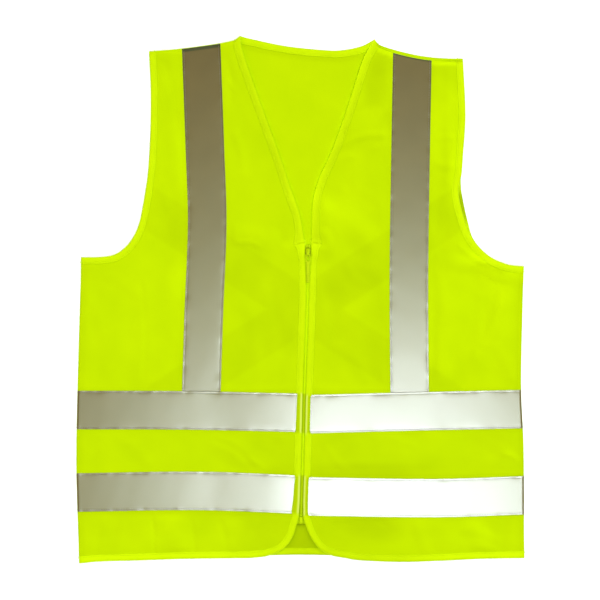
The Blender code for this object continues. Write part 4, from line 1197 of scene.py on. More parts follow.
# Painted light and painted shade across each strip, by reach from the fold.
ACROSS_LIGHT_AND_SHADE = {
    # reach from the fold, tone
    "binding_neck_right": [(0, 1.07), (1.1, 1.04), (2.6, 1.01), (6.5, 0.97), (9, 0.96)],
    "binding_neck_left": [(0, 1.4), (0.4, 1.3), (1.1, 1.16), (2.2, 1.04), (4.0, 1.0), (6.5, 0.97),
                          (9, 0.96)],
    "front": [(0, 1.08), (1.1, 1.02), (2.2, 1.0)],
    "other": [(0.4, 0.93), (1.8, 1.0)],
}
NARROWER = {
    # along Y, how much narrower than usual the zip's bindings are beside the bands
    "right": [(-120, 1.7), (-170, 0.6), (-230, 1.6), (-276, -1.4)],
    "left": [(-120, 2.4), (-276, 2.4)],
}
TAPE_UNDER = 1.2  # how far a band runs in under the binding
print("the section of a binding has", len(BINDING_SECTION), "points")

# %% [markdown]
# ## What changes along a strip
# Between stitches a strip puffs up unevenly, which slow, irregular waves add. Where the bands pass under
# the zip's bindings, the strip rides up over them, is narrower, is painted darker as shade, and has one
# rib of painted highlight, where silver shows through the stretched loops.

# %% Waves and band shares
FRONT_BANDS = [name for name in BANDS if name.startswith("band_")]
NEAR_ZIP = 20.0


def band_share(points, reach=TAPE / 2):
    """1 within the four front bands, near the zip, falling to 0 just outside them."""
    share = np.zeros(len(points))
    for name in FRONT_BANDS:
        same_side = (points[:, 0] < zip_x(points[:, 1])) == name.endswith("right")
        away = away_from(points, smooth(BANDS[name], 60.0))
        share = np.maximum(share, ramp(away, reach - 1.5, reach + 1.0) * same_side)
    return share * (np.abs(points[:, 0] - zip_x(points[:, 1])) < NEAR_ZIP)


def read_table(rows, places):
    """Rows of (place, value), read at any places."""
    return np.interp(places, *zip(*rows))


def narrower(side_name, y):
    return read_table(NARROWER[side_name][::-1], y)


def slow_waves(run, seed, lengths, height):
    """Irregular waves along a strip, the same each time for one seed."""
    source = np.random.default_rng(seed)
    waves = (np.sin(run * 2 * math.pi / length + source.uniform(0.0, 2 * math.pi)) for length in lengths)
    return height * sum(waves)


print("at the upper band the right binding is", narrower("right", -143.0), "mm narrower")

# %% [markdown]
# ## Sweeping the strips
# Each point of the section becomes a long row of points, and the rows are then joined. Its UV map is
# millimetres round and along the strip, so the knit runs with the edge. The ends are closed by triangles,
# because a fan over a folded section would cross itself.

# %% Bindings
PUFF = ((7.0, 11.0, 17.0, 29.0, 47.0), 0.1)  # wavelengths and height
WANDER = ((12.0, 19.0, 29.0, 49.0, 80.0), 0.08)
OVER_TAPE = 0.66  # how far a binding rides up over a band
STITCH_LIFT = 0.12
# painted shade over the bands
BAND_PAINTED_SHADE = ([0.5, 1.5, 3.5, 4.5], [0.2, 0.06, 0.12, 0.27])  # reach from the fold, how much darker
PAINTED_HIGHLIGHT_RIB = 0.8


def section_cap():
    """Triangles that close a folded section, each outer point joined to the nearest inner one."""
    cap = []
    for a, inner_a, inner_b in zip(range(OUTER_POINTS), CAP_PARTNERS, CAP_PARTNERS[1:]):
        cap.append((a, inner_a, a + 1))
        if inner_a != inner_b:
            cap.append((a + 1, inner_a, inner_b))
    return cap


def strip_light_and_shade(node, run, reach, points):
    """Painted light, shade and highlight of a strip's points, by place along, reach from the fold and the
    bands.
    """
    at_zip = node.startswith("binding_front_")
    kind = "front" if at_zip else node if node in ACROSS_LIGHT_AND_SHADE else "other"
    along = read_table(BINDING_LIGHT_AND_SHADE.get(node, [(0, 1.0)]), run / run[-1])
    tone = np.repeat(along, len(BINDING_SECTION)) * read_table(ACROSS_LIGHT_AND_SHADE[kind], reach)
    if not at_zip:
        return tone, np.zeros(len(points))
    within = band_share(points[:, :2])
    # a rib of painted highlight, where the silver tape shines through the stretched binding
    pale = within * PAINTED_HIGHLIGHT_RIB * ramp(np.abs(reach - 2.0), 0.8, 1.8)
    return tone * (1 - within * np.interp(reach, *BAND_PAINTED_SHADE)), pale


def add_binding(node, bound, surface, seed):
    """A folded strip along a bound edge, closed at both ends, and the lines its stitches follow."""
    line, steps = bound["line"], bound["in"]
    run = run_along(line)
    puff, wander = slow_waves(run, seed, *PUFF), slow_waves(run, seed + 100, *WANDER)
    wider = BINDING * (read_table(BINDING_WIDTHS.get(node, [(0, 1.0)]), run) - 1)
    beside_bands = np.zeros(len(line))
    if node.startswith("binding_front_"):
        beside_bands = band_share(line + steps * BINDING)
        wider = wider - narrower(node.split("_")[-1], line[:, 1]) * beside_bands
    section = np.array(BINDING_SECTION)
    rows, marks = [], []
    for (reach, rise, share), girth in zip(section, run_along(section[:, :2])):
        inset = reach + wider * (reach / BINDING) ** 2 + wander * (reach > 8.0) * (1 - beside_bands)
        level = surface.level(line + steps * np.maximum(inset, CUT)[:, None])
        over_tape = OVER_TAPE * beside_bands * (rise > 0.9) * min(max((reach - 3.0) / 3.5, 0.0), 1.0)
        height = level + rise + puff * share + over_tape
        rows.append(np.column_stack([line + steps * inset[:, None], height]))
        marks.append(np.column_stack([np.full(len(line), girth), run]))
    points = np.stack(rows, axis=1).reshape(-1, 3)
    width = len(section)
    faces = strip_faces(len(line), width)
    for base, turn in ((0, 1), ((len(line) - 1) * width, -1)):
        faces += [tuple(base + corner for corner in corners)[::turn] for corners in section_cap()]
    tone, pale = strip_light_and_shade(node, run, np.tile(section[:, 0], len(line)), points)
    made = add_piece("cloth_" + node, points, faces, BINDING_FINISH, node,
                     attributes={"tone": tone, "pale": pale}, uv=np.stack(marks, axis=1).reshape(-1, 2))
    outward_faces(made)
    lifts = ((0.0, 0.0, STITCH_LIFT), (0.0, 0.0, -STITCH_LIFT))
    return made, [rows[point] + np.array(lift) for point, lift in zip(STITCH_POINTS, lifts)]


def part_of(bound, start, end):
    return {"line": bound["line"][start:end], "in": bound["in"][start:end]}


def bound_edges():
    """Every binding's node name, edge and surface."""
    rows = []
    for side_name in SIDES:
        edges, surface = FRONT_EDGES[side_name], FRONTS[side_name]
        count = edges["neck_count"]
        rows.append(("binding_armhole_front_" + side_name, edges["armhole"], surface))
        rows.append(("binding_neck_" + side_name, part_of(edges["opening"], 0, count), surface))
        rows.append(("binding_front_" + side_name, part_of(edges["opening"], count - 1, None), surface))
        rows.append(("binding_armhole_back_" + side_name, BACK_EDGES["armhole_" + side_name], BACK))
    rows.append(("binding_neck_back", BACK_EDGES["neck"], BACK))
    rows.append(("binding_hem_back", BACK_EDGES["hem"], BACK))
    return rows


BINDINGS, LIME_LINES = {}, []
for number, (node, bound, surface) in enumerate(bound_edges()):
    BINDINGS[node], lines = add_binding(node, bound, surface, 20 + number)
    LIME_LINES.extend(lines)
print(len(BINDINGS), "bindings with", sum(len(made.data.polygons) for made in BINDINGS.values()), "faces")

# %% [markdown]
# ## Lanes of a tape
# Each tape is a thin strip that follows the panel under it. It is built in lanes that run along it, each
# cut where it meets the seam or binding at its ends, so a slanting or curved end comes out right. The
# lanes crowd near the edges, where the stitching pulls a narrow groove. A last flat sliver beside the
# rounded rim keeps its soft shading from darkening the whole edge.

# %% Lanes
TAPE_STEP = 4.0
TAPE_STITCH = 22.6
HALF_LANES = [
    # across the tape from its middle, how far its face is drawn down
    (3.0, 0.0), (9.0, 0.0), (15.0, 0.0), (19.0, 0.0), (21.0, 0.02), (21.8, 0.03), (22.6, 0.08),
    (23.4, 0.03), (24.75, 0.03), (24.88, 0.03), (24.97, 0.12), (25.0, 0.4),
]
LANES = [(-across, drop) for across, drop in HALF_LANES[::-1]] + HALF_LANES
END_PLACES = np.array([0.0, 0.08, 0.3, 0.6, 1.3, 2.1, 3.0, 4.0, 4.8, 6.0, 9.6])


def crossing(line, cutter):
    """How far along a line it first meets another, or None."""
    run = 0.0
    for start, end in zip(line, line[1:]):
        way = end - start
        for first, second in zip(cutter, cutter[1:]):
            other = second - first
            turn = way[0] * other[1] - way[1] * other[0]
            if abs(turn) < 1e-9:
                continue
            gap = first - start
            t = (gap[0] * other[1] - gap[1] * other[0]) / turn
            s = (gap[0] * way[1] - gap[1] * way[0]) / turn
            if 0 <= t <= 1 and 0 <= s <= 1:
                return run + t * np.linalg.norm(way)
        run += np.linalg.norm(way)
    return None


def lane_between(middle, across, cuts, count):
    """One lane of a tape from one cutting line to another, with closer stations near its ends."""
    ways = directions(middle)
    line = middle + np.column_stack([-ways[:, 1], ways[:, 0]]) * across
    lengths = run_along(line)
    start, end = (crossing(line, cut) for cut in cuts)
    start = 0.0 if start is None else start
    end = lengths[-1] if end is None else end
    between_ends = np.linspace(start + END_PLACES[-1], end - END_PLACES[-1], count)[1:-1]
    places = np.concatenate([start + END_PLACES, between_ends, end - END_PLACES[::-1]])
    return np.column_stack([np.interp(places, lengths, line[:, axis]) for axis in range(2)]), places


print(len(LANES), "lanes, the last", round(LANES[-1][0] - LANES[-2][0], 2), "mm wide")

# %% [markdown]
# ## Sewn-on tape
# The tapes are flatter and stiffer than the knit and pucker only a little along their stitches. Two
# things make them differ: one band stands off towards the side seam, which turns its shine away, and the
# upper ends of the braces turn down into the shoulder seams, where painted shade darkens them.

# %% Tapes
TAPE_THICK = 0.42
TAPE_GAP = 0.04  # a hair of air between a tape and its panel
TAPE_CROWN = 0.06
END_ROUNDING = 0.4
PUCKER = ((13.0, 19.0, 31.0, 53.0, 90.0), 0.035)
TAPE_RISES = {"band_lower_left": [(0.6, 0.0), (0.8, 0.2), (1, 0.8)]}  # share along, how far it stands off
# painted shade on the braces' upper ends, which turn down into the shoulder seams
TURNED_END_SHADES = {"brace_right": 4.6, "brace_left": 1.9}  # dark ends, turned down into the shoulder seam
DARK_RIM = (24.0, 0.75, 60.0, 190.0)  # starts across, how dark, full to and ended at from the end


def turned_end_shade(node, across, left):
    """How dark one lane of a brace is painted, as shade, by how far it is from its upper end and whether it
    is a rim.
    """
    end = TURNED_END_SHADES.get(node, 0.0)
    start, depth, full, gone = DARK_RIM
    rim = depth * (abs(across) > start) * ramp(left, full, gone)
    return np.maximum(ramp(left, end - 0.6, end + 0.1), rim)


def tape_faces(lanes, stations):
    """Faces round a strip of upper and lower lanes, and over both its ends."""
    width = lanes * 2
    lane, station = np.divmod(np.arange(width * (stations - 1)), stations - 1)
    here, beside = lane * stations + station, (lane + 1) % width * stations + station
    faces = np.column_stack([here, here + 1, beside + 1, beside]).tolist()
    for lane in range(lanes - 1):
        corners = np.array([lane, lane + 1, width - 2 - lane, width - 1 - lane]) * stations
        faces += [corners.tolist(), (corners[::-1] + stations - 1).tolist()]
    return faces


def add_tape(node, middle, cuts, surface, seed, above=True):
    """A thin strip on a panel, above or below it, and the lines of stitches along both its edges."""
    middle = smooth(middle, 12.0)
    count = int(run_along(middle)[-1] / TAPE_STEP)
    top, bottom, stitched, turned = [], [], [], []
    for across, drop in LANES:
        lane, run = lane_between(middle, across, cuts, count)
        pucker = slow_waves(run, seed + 200 * (across > 0), *PUCKER)
        pucker *= ramp(TAPE / 2 - abs(across), 1.0, 7.0)
        ends = np.minimum(run - run[0], run[-1] - run)
        rounding = np.maximum(drop, END_ROUNDING * ramp(ends, 0.0, 0.32))
        turned.append(turned_end_shade(node, across, run[-1] - run))
        if above:
            stands_off = read_table(TAPE_RISES.get(node, [(0, 0.0)]), run / run[-1])
            lower = surface.level(lane) + CLOTH + TAPE_GAP + stands_off
            upper = lower + TAPE_THICK + TAPE_CROWN - rounding + pucker
        else:
            upper = surface.level(lane) - TAPE_GAP
            lower = upper - TAPE_THICK - TAPE_CROWN + rounding - pucker
        top.append(np.column_stack([lane, upper]))
        bottom.append(np.column_stack([lane, lower]))
        if abs(across) == TAPE_STITCH:
            stitched.append(np.column_stack([lane, upper + 0.1 if above else lower - 0.1])[3:-3])
    points = np.stack(top + bottom[::-1]).reshape(-1, 3)
    turned = np.concatenate([np.concatenate(turned), np.concatenate(turned[::-1])])
    made = add_piece("tape_" + node, points, tape_faces(len(top), len(top[0])), TAPE_FINISH, node,
                     attributes={"turned": turned * (node in TURNED_END_SHADES)})
    outward_faces(made)
    return made, stitched


print("tapes are", TAPE_THICK + TAPE_CROWN, "mm thick in the middle")

# %% [markdown]
# ## Where each tape ends
# Bands run from the side seam to the zip, where they go in under the binding. Braces run from the upper
# band to the shoulder seam. The crossing tapes of the back lie over each other, so the lower one keeps a
# level of its own and the upper one follows the back's rise over it.

# %% All tapes


def side_cut(side_name, side):
    """Where a band ends at a side edge, a hair inside it."""
    line = edge("side_" + side_name, 20.0) - np.array([side * 0.3, 0.0])
    return np.vstack([line[0] + np.array([0.0, -40.0]), line, line[-1] + np.array([0.0, 40.0])])


class FlatBack:
    """The level that the lower of the two crossing tapes keeps."""

    def level(self, points):
        return np.full(len(points), BACK_LEVEL)


def front_tape_rows(side_name, side):
    """Name, middle line, cutting lines and surface of each tape on one front."""
    edges, surface = FRONT_EDGES[side_name], FRONTS[side_name]
    opened = edges["opening"]["line"]
    inner = cut_line(edges["opening"], (BINDING - narrower(side_name, opened[:, 1]) - TAPE_UNDER)[:, None])
    cuts = [side_cut(side_name, side), inner[edges["neck_count"]:]][::-side]
    names = ["band_upper_" + side_name, "band_lower_" + side_name]
    band_top = smooth(BANDS[names[0]], 20.0) + np.array([0.0, TAPE / 2 + TAPE_GAP])
    shoulder = edges["shoulder"] - np.array([0.0, 0.6])
    brace = "brace_" + side_name
    return [(name, BANDS[name], cuts, surface, True) for name in names] + [
        (brace, BRACES[brace], [band_top, shoulder], surface, True)]


def back_tape_rows():
    """The same for the two back bands and the crossing tapes above them."""
    seams = [side_cut(name, side) for name, side in SIDES.items()]
    rows = [(name, BANDS[name], seams, BACK, False) for name in ("back_band_upper", "back_band_lower")]
    band_top = smooth(BANDS["back_band_upper"], 60.0) + np.array([0.0, TAPE / 2 + 0.3])
    cross_rows = (("back_cross_under", "left", FlatBack()), ("back_cross_over", "right", BACK))
    for name, side_name, surface in cross_rows:
        start, end = np.array(CROSSES[name], float)
        way = (end - start) / np.linalg.norm(end - start) * 60.0
        arm = cut_line(BACK_EDGES["armhole_" + side_name], BINDING + 0.3)
        rows.append((name, [start - way, (start + end) / 2, end + way], [band_top, arm], surface, False))
    return rows


TAPES, GREY_LINES = {}, []
tape_rows = front_tape_rows("right", -1) + front_tape_rows("left", 1) + back_tape_rows()
for number, (node, middle, cuts, surface, above) in enumerate(tape_rows):
    TAPES[node], lines = add_tape(node, middle, cuts, surface, 60 + number, above)
    GREY_LINES.extend(lines)
print(len(TAPES), "tapes with", sum(len(made.data.polygons) for made in TAPES.values()), "faces")

# %% [markdown]
# ## Repeated small things
# Stitches and the turns of the zip's coil repeat by the hundred along lines. Geometry Nodes do that well:
# one small tree turns a line into evenly spaced points, sets a copy of a shape on each, turned along the
# line, and makes real faces of the copies at the end. A fixed seed varies their lengths a little, the
# same way each time.

# %% A node tree that sets a shape along lines
TREE_INPUTS = {"Lines": "Geometry", "Shape": "Object", "Finish": "Material", "Pitch": "Float",
               "Shortest": "Float", "Longest": "Float", "Seed": "Int"}


def repeat_tree():
    """Lines in, and a row of small shapes along them out."""
    tree = bpy.data.node_groups.new("shapes_along_lines", "GeometryNodeTree")
    tree.interface.new_socket("Pieces", in_out="OUTPUT", socket_type="NodeSocketGeometry")
    for label, kind in TREE_INPUTS.items():
        tree.interface.new_socket(label, in_out="INPUT", socket_type="NodeSocket" + kind)
    start = Wire(tree)
    given = start.node("NodeGroupInput").socket.node.outputs
    wire = {socket.name: Wire(tree, socket) for socket in given if socket.name}
    curve = start.node("GeometryNodeMeshToCurve", None, {"Mesh": wire["Lines"]})
    spaced = start.node("GeometryNodeResampleCurve", {"mode": "LENGTH"},
                        {"Curve": curve, "Length": wire["Pitch"]})
    turned = start.node("FunctionNodeAlignRotationToVector", {"axis": "X", "pivot_axis": "Z"},
                        {"Vector": start.node("GeometryNodeInputTangent")})
    length = start.node("FunctionNodeRandomValue", {"data_type": "FLOAT"},
                        {2: wire["Shortest"], 3: wire["Longest"], "Seed": wire["Seed"]}, 1)
    size = start.node("ShaderNodeCombineXYZ", None, {"X": length, "Y": 1.0, "Z": 1.0})
    shape = start.node("GeometryNodeObjectInfo", None, {"Object": wire["Shape"]}, "Geometry")
    copies = start.node("GeometryNodeInstanceOnPoints", None,
                        {"Points": spaced, "Instance": shape, "Rotation": turned, "Scale": size})
    real = start.node("GeometryNodeRealizeInstances", None, {"Geometry": copies})
    finished = start.node("GeometryNodeSetMaterial", None, {"Geometry": real, "Material": wire["Finish"]})
    join(finished, tree.nodes.new("NodeGroupOutput").inputs["Pieces"])
    return tree


REPEAT = repeat_tree()
print("the tree has", len(REPEAT.nodes), "nodes")

# %% [markdown]
# ## Running the tree
# Lines become one mesh of edges, and the shape is a little closed tube. The modifier's inputs are set by
# their sockets' identifiers, then the evaluated result is copied to a plain mesh, and the helpers are
# removed, so that only the finished piece is left in the scene.

# %% Lines, tubes and repeats


def lines_mesh(name, lines):
    """Several lines of points, in millimetres, as one mesh of edges."""
    mesh = bpy.data.meshes.new(name)
    edges, first = [], 0
    for line in lines:
        edges += [(first + index, first + index + 1) for index in range(len(line) - 1)]
        first += len(line)
    mesh.from_pydata(np.vstack(lines) * MM, edges, [])
    return mesh


def tube(stations, sides, width, height, across=False):
    """A closed little tube along X, or across it along Y: stations are (place, rise, share of the size)."""
    points = []
    for place, rise, share in stations:
        for index in range(sides):
            angle = 2 * math.pi * index / sides
            aside, up = width / 2 * share * math.cos(angle), rise + height / 2 * share * math.sin(angle)
            points.append((-aside, place, up) if across else (place, aside, up))
    mesh = bpy.data.meshes.new("shape")
    faces = strip_faces(len(stations), sides) + end_faces(len(stations), sides)
    mesh.from_pydata(np.array(points) * MM, [], faces)
    return add_object("shape", mesh)


def add_repeated(name, lines, shape, finish, pitch, lengths=(1.0, 1.0), seed=1, tone=None):
    """Runs the tree on some lines and keeps the result as a plain mesh."""
    holder = add_object(name + "_lines", lines_mesh(name, lines))
    modifier = holder.modifiers.new("repeat", "NODES")
    modifier.node_group = REPEAT
    values = {"Shape": shape, "Finish": finish, "Pitch": pitch * MM, "Shortest": lengths[0],
              "Longest": lengths[1], "Seed": seed}
    for item in REPEAT.interface.items_tree:
        if item.in_out == "INPUT" and item.name in values:
            modifier[item.identifier] = values[item.name]
    seen = bpy.context.evaluated_depsgraph_get()
    mesh = bpy.data.meshes.new_from_object(holder.evaluated_get(seen), depsgraph=seen)
    mesh.name = name
    bpy.data.objects.remove(holder)
    bpy.data.objects.remove(shape)
    mesh.shade_smooth()
    if tone:
        places = np.zeros(len(mesh.vertices) * 3, np.float32)
        mesh.vertices.foreach_get("co", places)
        shades = tone(places.reshape(-1, 3)[:, :2] / MM)
        mesh.attributes.new("tone", "FLOAT", "POINT").data.foreach_set("value", shades.astype(np.float32))
    made = add_object(name, mesh)
    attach(made, "vest")
    print(name, "has", len(mesh.polygons), "faces")
    return made


print("a line through three points has", len(lines_mesh("sample", [np.zeros((3, 3))]).edges), "edges")

# %% [markdown]
# ## Stitching
# A lockstitch shows as short, plump bars of thread with a gap at each needle hole. The bindings are sewn
# in lime thread a couple of millimetres from their inner edge, and the tapes in grey thread along both
# edges. Each line was kept when its strip was made, so the stitches lie in the groove that they pull.

# %% Stitches
STITCH_PITCH = 3.2
STITCH_LENGTHS = (0.86, 1.06)  # shortest and longest share of a stitch
STITCH_SIZE = (0.52, 0.34)  # width and height of the thread
STITCH_SHAPE = [(-1.35, -0.25, 0.35), (-1.0, 0.0, 0.95), (1.0, 0.0, 0.95), (1.35, -0.25, 0.35)]
for name, lines, finish, seed in (("stitches_lime", LIME_LINES, LIME_THREAD, 4),
                                  ("stitches_grey", GREY_LINES, GREY_THREAD, 9)):
    shape = tube(STITCH_SHAPE, 8, *STITCH_SIZE)
    add_repeated(name, lines, shape, finish, STITCH_PITCH, STITCH_LENGTHS, seed)

# %% [markdown]
# ## The zip
# It is a nylon coil zip on two woven tapes that lie under the bindings. A coil is a filament bent into
# turns: each turn rises from the tape, crosses the middle where it locks with the other side, and goes
# back down, and a cord runs inside. The turns of the two sides lie half a pitch apart. Under them a plain
# strip stands for the cords and the tapes' edges.

# %% Zip tapes and coil
CHAIN_LEVEL = 2.9
COIL_MIDDLE = 4.5
COIL_PITCH = 1.45
TURN_SHAPE = [(-1.95, -0.9, 0.8), (-1.8, -0.2, 1.0), (-1.15, 0.35, 1.0), (-0.1, 0.5, 1.0), (0.7, 0.4, 1.05),
              (0.95, 0.0, 0.8)]
TURN_SIZE = (0.95, 0.8)
ZIP_TAPE_ROWS = (79.0, -290.6)
ZIP_TAPE_SECTION = ((2.35, 2.38), (2.35, 2.66), (4.2, 2.74), (12.6, 2.72), (12.8, 2.6), (12.8, 2.4))
CHAIN_ROWS = (66.35, -281.3)
CHAIN_STEPS = 180
CORE_SECTION = ((-2.1, CHAIN_LEVEL), (-2.1, 4.15), (-1.75, 4.5), (1.75, 4.5), (2.1, 4.15),
                (2.1, CHAIN_LEVEL))


def zip_line_level(y):
    """The middle of the zip at some heights, and how far the back's crossing tapes lift it there."""
    middle = np.column_stack([zip_x(y), y])
    return middle, hump(middle)


def zip_strip(name, finish, node, rows, section, tone=None):
    """A closed strip along the zip line: section points are (across, level)."""
    y = np.linspace(*rows, int(abs(rows[1] - rows[0]) / FINE))
    middle, lift = zip_line_level(y)
    lanes = [np.column_stack([middle[:, 0] + across, y, level + lift]) for across, level in section]
    points = np.stack(lanes, axis=1).reshape(-1, 3)
    faces = strip_faces(len(y), len(section)) + end_faces(len(y), len(section))
    attributes = {"tone": tone(points[:, :2])} if tone else None
    made = add_piece(name, points, faces, finish, node, attributes=attributes)
    outward_faces(made)
    return made


def coil_painted_shade(points):
    """The coil is painted darker between the silver bands, as shade in the groove between the bindings, and
    lighter against the cloth.
    """
    shifted = [points + np.array([side * 8.0, 0.0]) for side in (-1, 1)]
    return 0.99 - 0.26 * np.maximum(*(band_share(places) for places in shifted))


def add_zip():
    for side_name, side in SIDES.items():
        node = "zip_tape_" + side_name
        section = [(side * near, level) for near, level in ZIP_TAPE_SECTION]
        zip_strip("woven_" + node, ZIP_TAPE_FINISH, node, ZIP_TAPE_ROWS, section)
    zip_strip("coil_core", COIL_FINISH, "zip_chain", CHAIN_ROWS, CORE_SECTION, coil_painted_shade)
    middle, lift = zip_line_level(np.linspace(*CHAIN_ROWS, CHAIN_STEPS))
    down = np.column_stack([middle, COIL_MIDDLE + lift])[:-1]
    up = (down + np.array([0.0, -COIL_PITCH / 2, 0.0]))[::-1]
    shape = tube(TURN_SHAPE, 6, *TURN_SIZE, across=True)
    return add_repeated("coil_turns", [down, up], shape, COIL_FINISH, COIL_PITCH, tone=coil_painted_shade)


add_zip()

# %% [markdown]
# ## Plates with rounded rims
# The zip's hard pieces are small plates and blocks. Each is a closed outline, with holes if it has any,
# swept through a few rows that lie a little further in at the top and bottom, which rounds its rims as
# tumbling rounds the real ones.

# %% Plates and blocks
ROUND_RIM = 0.22


def arc(centre, radius, start, end, count):
    """Points of an arc, angles in degrees."""
    angles = np.radians(np.linspace(start, end, count))
    return np.column_stack([centre[0] + radius * np.cos(angles), centre[1] + radius * np.sin(angles)])


def plate(loops, rows):
    """A closed plate from an outline that turns left and holes that turn right: rows are (inset, level)."""
    steps, edges, first = [], [], 0
    for loop in loops:
        ways = np.roll(loop, -1, axis=0) - np.roll(loop, 1, axis=0)
        ways /= np.linalg.norm(ways, axis=1)[:, None]
        steps.append(np.column_stack([-ways[:, 1], ways[:, 0]]))
        edges += [(first + index, first + (index + 1) % len(loop)) for index in range(len(loop))]
        first += len(loop)
    flat, steps = np.vstack(loops), np.vstack(steps)
    count = len(flat)
    points = np.vstack([np.column_stack([flat + steps * inset, np.full(count, level)])
                        for inset, level in rows])
    faces = []
    for base in range(0, (len(rows) - 1) * count, count):
        faces += [(base + a, base + b, base + count + b, base + count + a) for a, b in edges]
    cap = delaunay_2d_cdt([tuple(point) for point in flat], edges, [], 0, 0.0001)[2]
    for corners in map(list, cap):
        middle = flat[corners].mean(axis=0)[None]
        if inside(middle, loops[0])[0] and not any(inside(middle, hole)[0] for hole in loops[1:]):
            if double_area(*flat[corners]) < 0:
                corners.reverse()
            faces.append(tuple(corners[::-1]))
            faces.append(tuple((len(rows) - 1) * count + corner for corner in corners))
    return points, faces


def rounded_rows(low, high, rim=ROUND_RIM):
    return [(rim, low), (0.0, low + rim), (0.0, high - rim), (rim * 0.35, high - rim * 0.3), (rim, high)]


def block(x0, x1, y0, y1, low, high, rim=ROUND_RIM, corner=0.5):
    """A small block with rounded corners and rims."""
    centres = [((x1 - corner, y0 + corner), -90), ((x1 - corner, y1 - corner), 0),
               ((x0 + corner, y1 - corner), 90), ((x0 + corner, y0 + corner), 180)]
    loop = np.vstack([arc(centre, corner, start, start + 90, 5) for centre, start in centres])
    return plate([loop], rounded_rows(low, high, rim))


def mirrored(half):
    """A closed outline from its right half, listed upwards."""
    half = np.array(half, float)
    return np.vstack([half, (half * np.array([-1.0, 1.0]))[::-1]])


def gathered(parts):
    """Several closed shapes as one list of points and one of faces, and each point's tone."""
    points, faces, tones = [], [], []
    for part_points, part_faces, tone in parts:
        faces += [tuple(corner + len(points) for corner in corners) for corners in part_faces]
        points += [tuple(point) for point in part_points]
        tones += [tone] * len(part_points)
    return points, faces, tones


print("a block has", len(block(0, 2, 0, 4, 0, 2)[1]), "faces")

# %% [markdown]
# ## The slider
# The slider is a small zinc die casting, enamelled to match: a shield-shaped plate over the coil with a
# raised middle, two flanges that hold the coil, and a bridge that the pull hangs from. It is one piece,
# so its parts are gathered into one mesh, each with its own tone: painted shade on the plate and the
# flanges, painted light on the crown and the bridge.

# %% Slider
SLIDER_Y = 62.0
SLIDER_LENGTH = 10.7
SLIDER_FOOT, SLIDER_HEAD = SLIDER_Y - SLIDER_LENGTH / 2, SLIDER_Y + SLIDER_LENGTH / 2
PLATE_LEVEL = 5.43
PULL_AXIS = (9.7, 58.7, 7.88)
FLANGE_REACH = (2.75, 3.4)
BRIDGE_SECTION = [
    # across, depth from the outer face
    (-1.0, 0.25), (-0.75, 0.0), (0.75, 0.0), (1.0, 0.25), (1.0, 0.75), (0.75, 1.0),
    (-0.75, 1.0), (-1.0, 0.75),
]
# painted shade on the plate and flanges, painted light on the crown and bridge
SLIDER_LIGHT_AND_SHADE = {"body": 0.5, "crown": 0.82, "bridge": 0.9, "flange": 0.5}


def shield(scale, foot, head):
    """The slider's outline: slim at the foot, waisted, with round shoulders."""
    curve = smooth([(2.3 * scale, foot), (2.9 * scale, foot + 1.2), (3.15 * scale, SLIDER_Y - 1.0),
                    (3.7 * scale, head - 2.6), (3.4 * scale, head - 0.9), (2.2 * scale, head)], 0.5)
    return mirrored(curve) + np.array([PULL_AXIS[0], 0.0])


def bridge():
    """A round-backed strap over the plate: its side view swept across, with rounded edges."""
    foot, back = SLIDER_FOOT + 0.2, SLIDER_HEAD - 1.2
    root, top = PLATE_LEVEL + 0.6, PLATE_LEVEL + 4.5
    outer = smooth([(foot, root), (foot - 0.05, top - 1.2), (foot + 0.7, top - 0.15), (foot + 3.0, top),
                    (back - 3.0, top - 0.2), (back - 1.2, top - 1.6), (back, root)], 0.4)
    ways = directions(outer)
    points = []
    for place, step in zip(outer, np.column_stack([ways[:, 1], -ways[:, 0]])):
        for across, depth in BRIDGE_SECTION:
            y, z = place + step * depth
            points.append((PULL_AXIS[0] + across, y, z))
    width = len(BRIDGE_SECTION)
    return points, strip_faces(len(outer), width) + end_faces(len(outer), width)


def add_slider():
    x, level = PULL_AXIS[0], PLATE_LEVEL
    body = plate([shield(1.0, SLIDER_FOOT, SLIDER_HEAD)], rounded_rows(level, level + 0.85))
    crown = plate([shield(0.62, SLIDER_FOOT + 1.3, SLIDER_HEAD - 1.2)],
                  rounded_rows(level + 0.6, level + 1.05, 0.16))
    parts = [(*body, SLIDER_LIGHT_AND_SHADE["body"]), (*crown, SLIDER_LIGHT_AND_SHADE["crown"]),
             (*bridge(), SLIDER_LIGHT_AND_SHADE["bridge"])]
    for side in (-1, 1):
        ends = sorted(x + side * reach for reach in FLANGE_REACH)
        flange = block(*ends, SLIDER_Y - 2.2, SLIDER_HEAD - 2.4, 3.6, level + 0.4, 0.12, 0.2)
        parts.append((*flange, SLIDER_LIGHT_AND_SHADE["flange"]))
    points, faces, tones = gathered(parts)
    return add_piece("slider", points, faces, PAINT_FINISH, "zip_slider",
                     attributes={"tone": tones})


SLIDER = add_slider()
print("slider:", len(SLIDER.data.polygons), "faces")

# %% [markdown]
# ## The pull
# The pull is a flat stamped tab with a long eye and a few grip bars at its end. It is the only rigid
# piece that moves, so it rides on its own body. Its upper bar lies on the joint's axis, so that it clears
# the bridge when the tab swings over.

# %% Pull
PULL_LENGTH = 37.0
PULL_EYE = (3.4, 9.0)
PULL_THICK = 1.1
GRIPS = 5
GRIP_STEP = 2.1


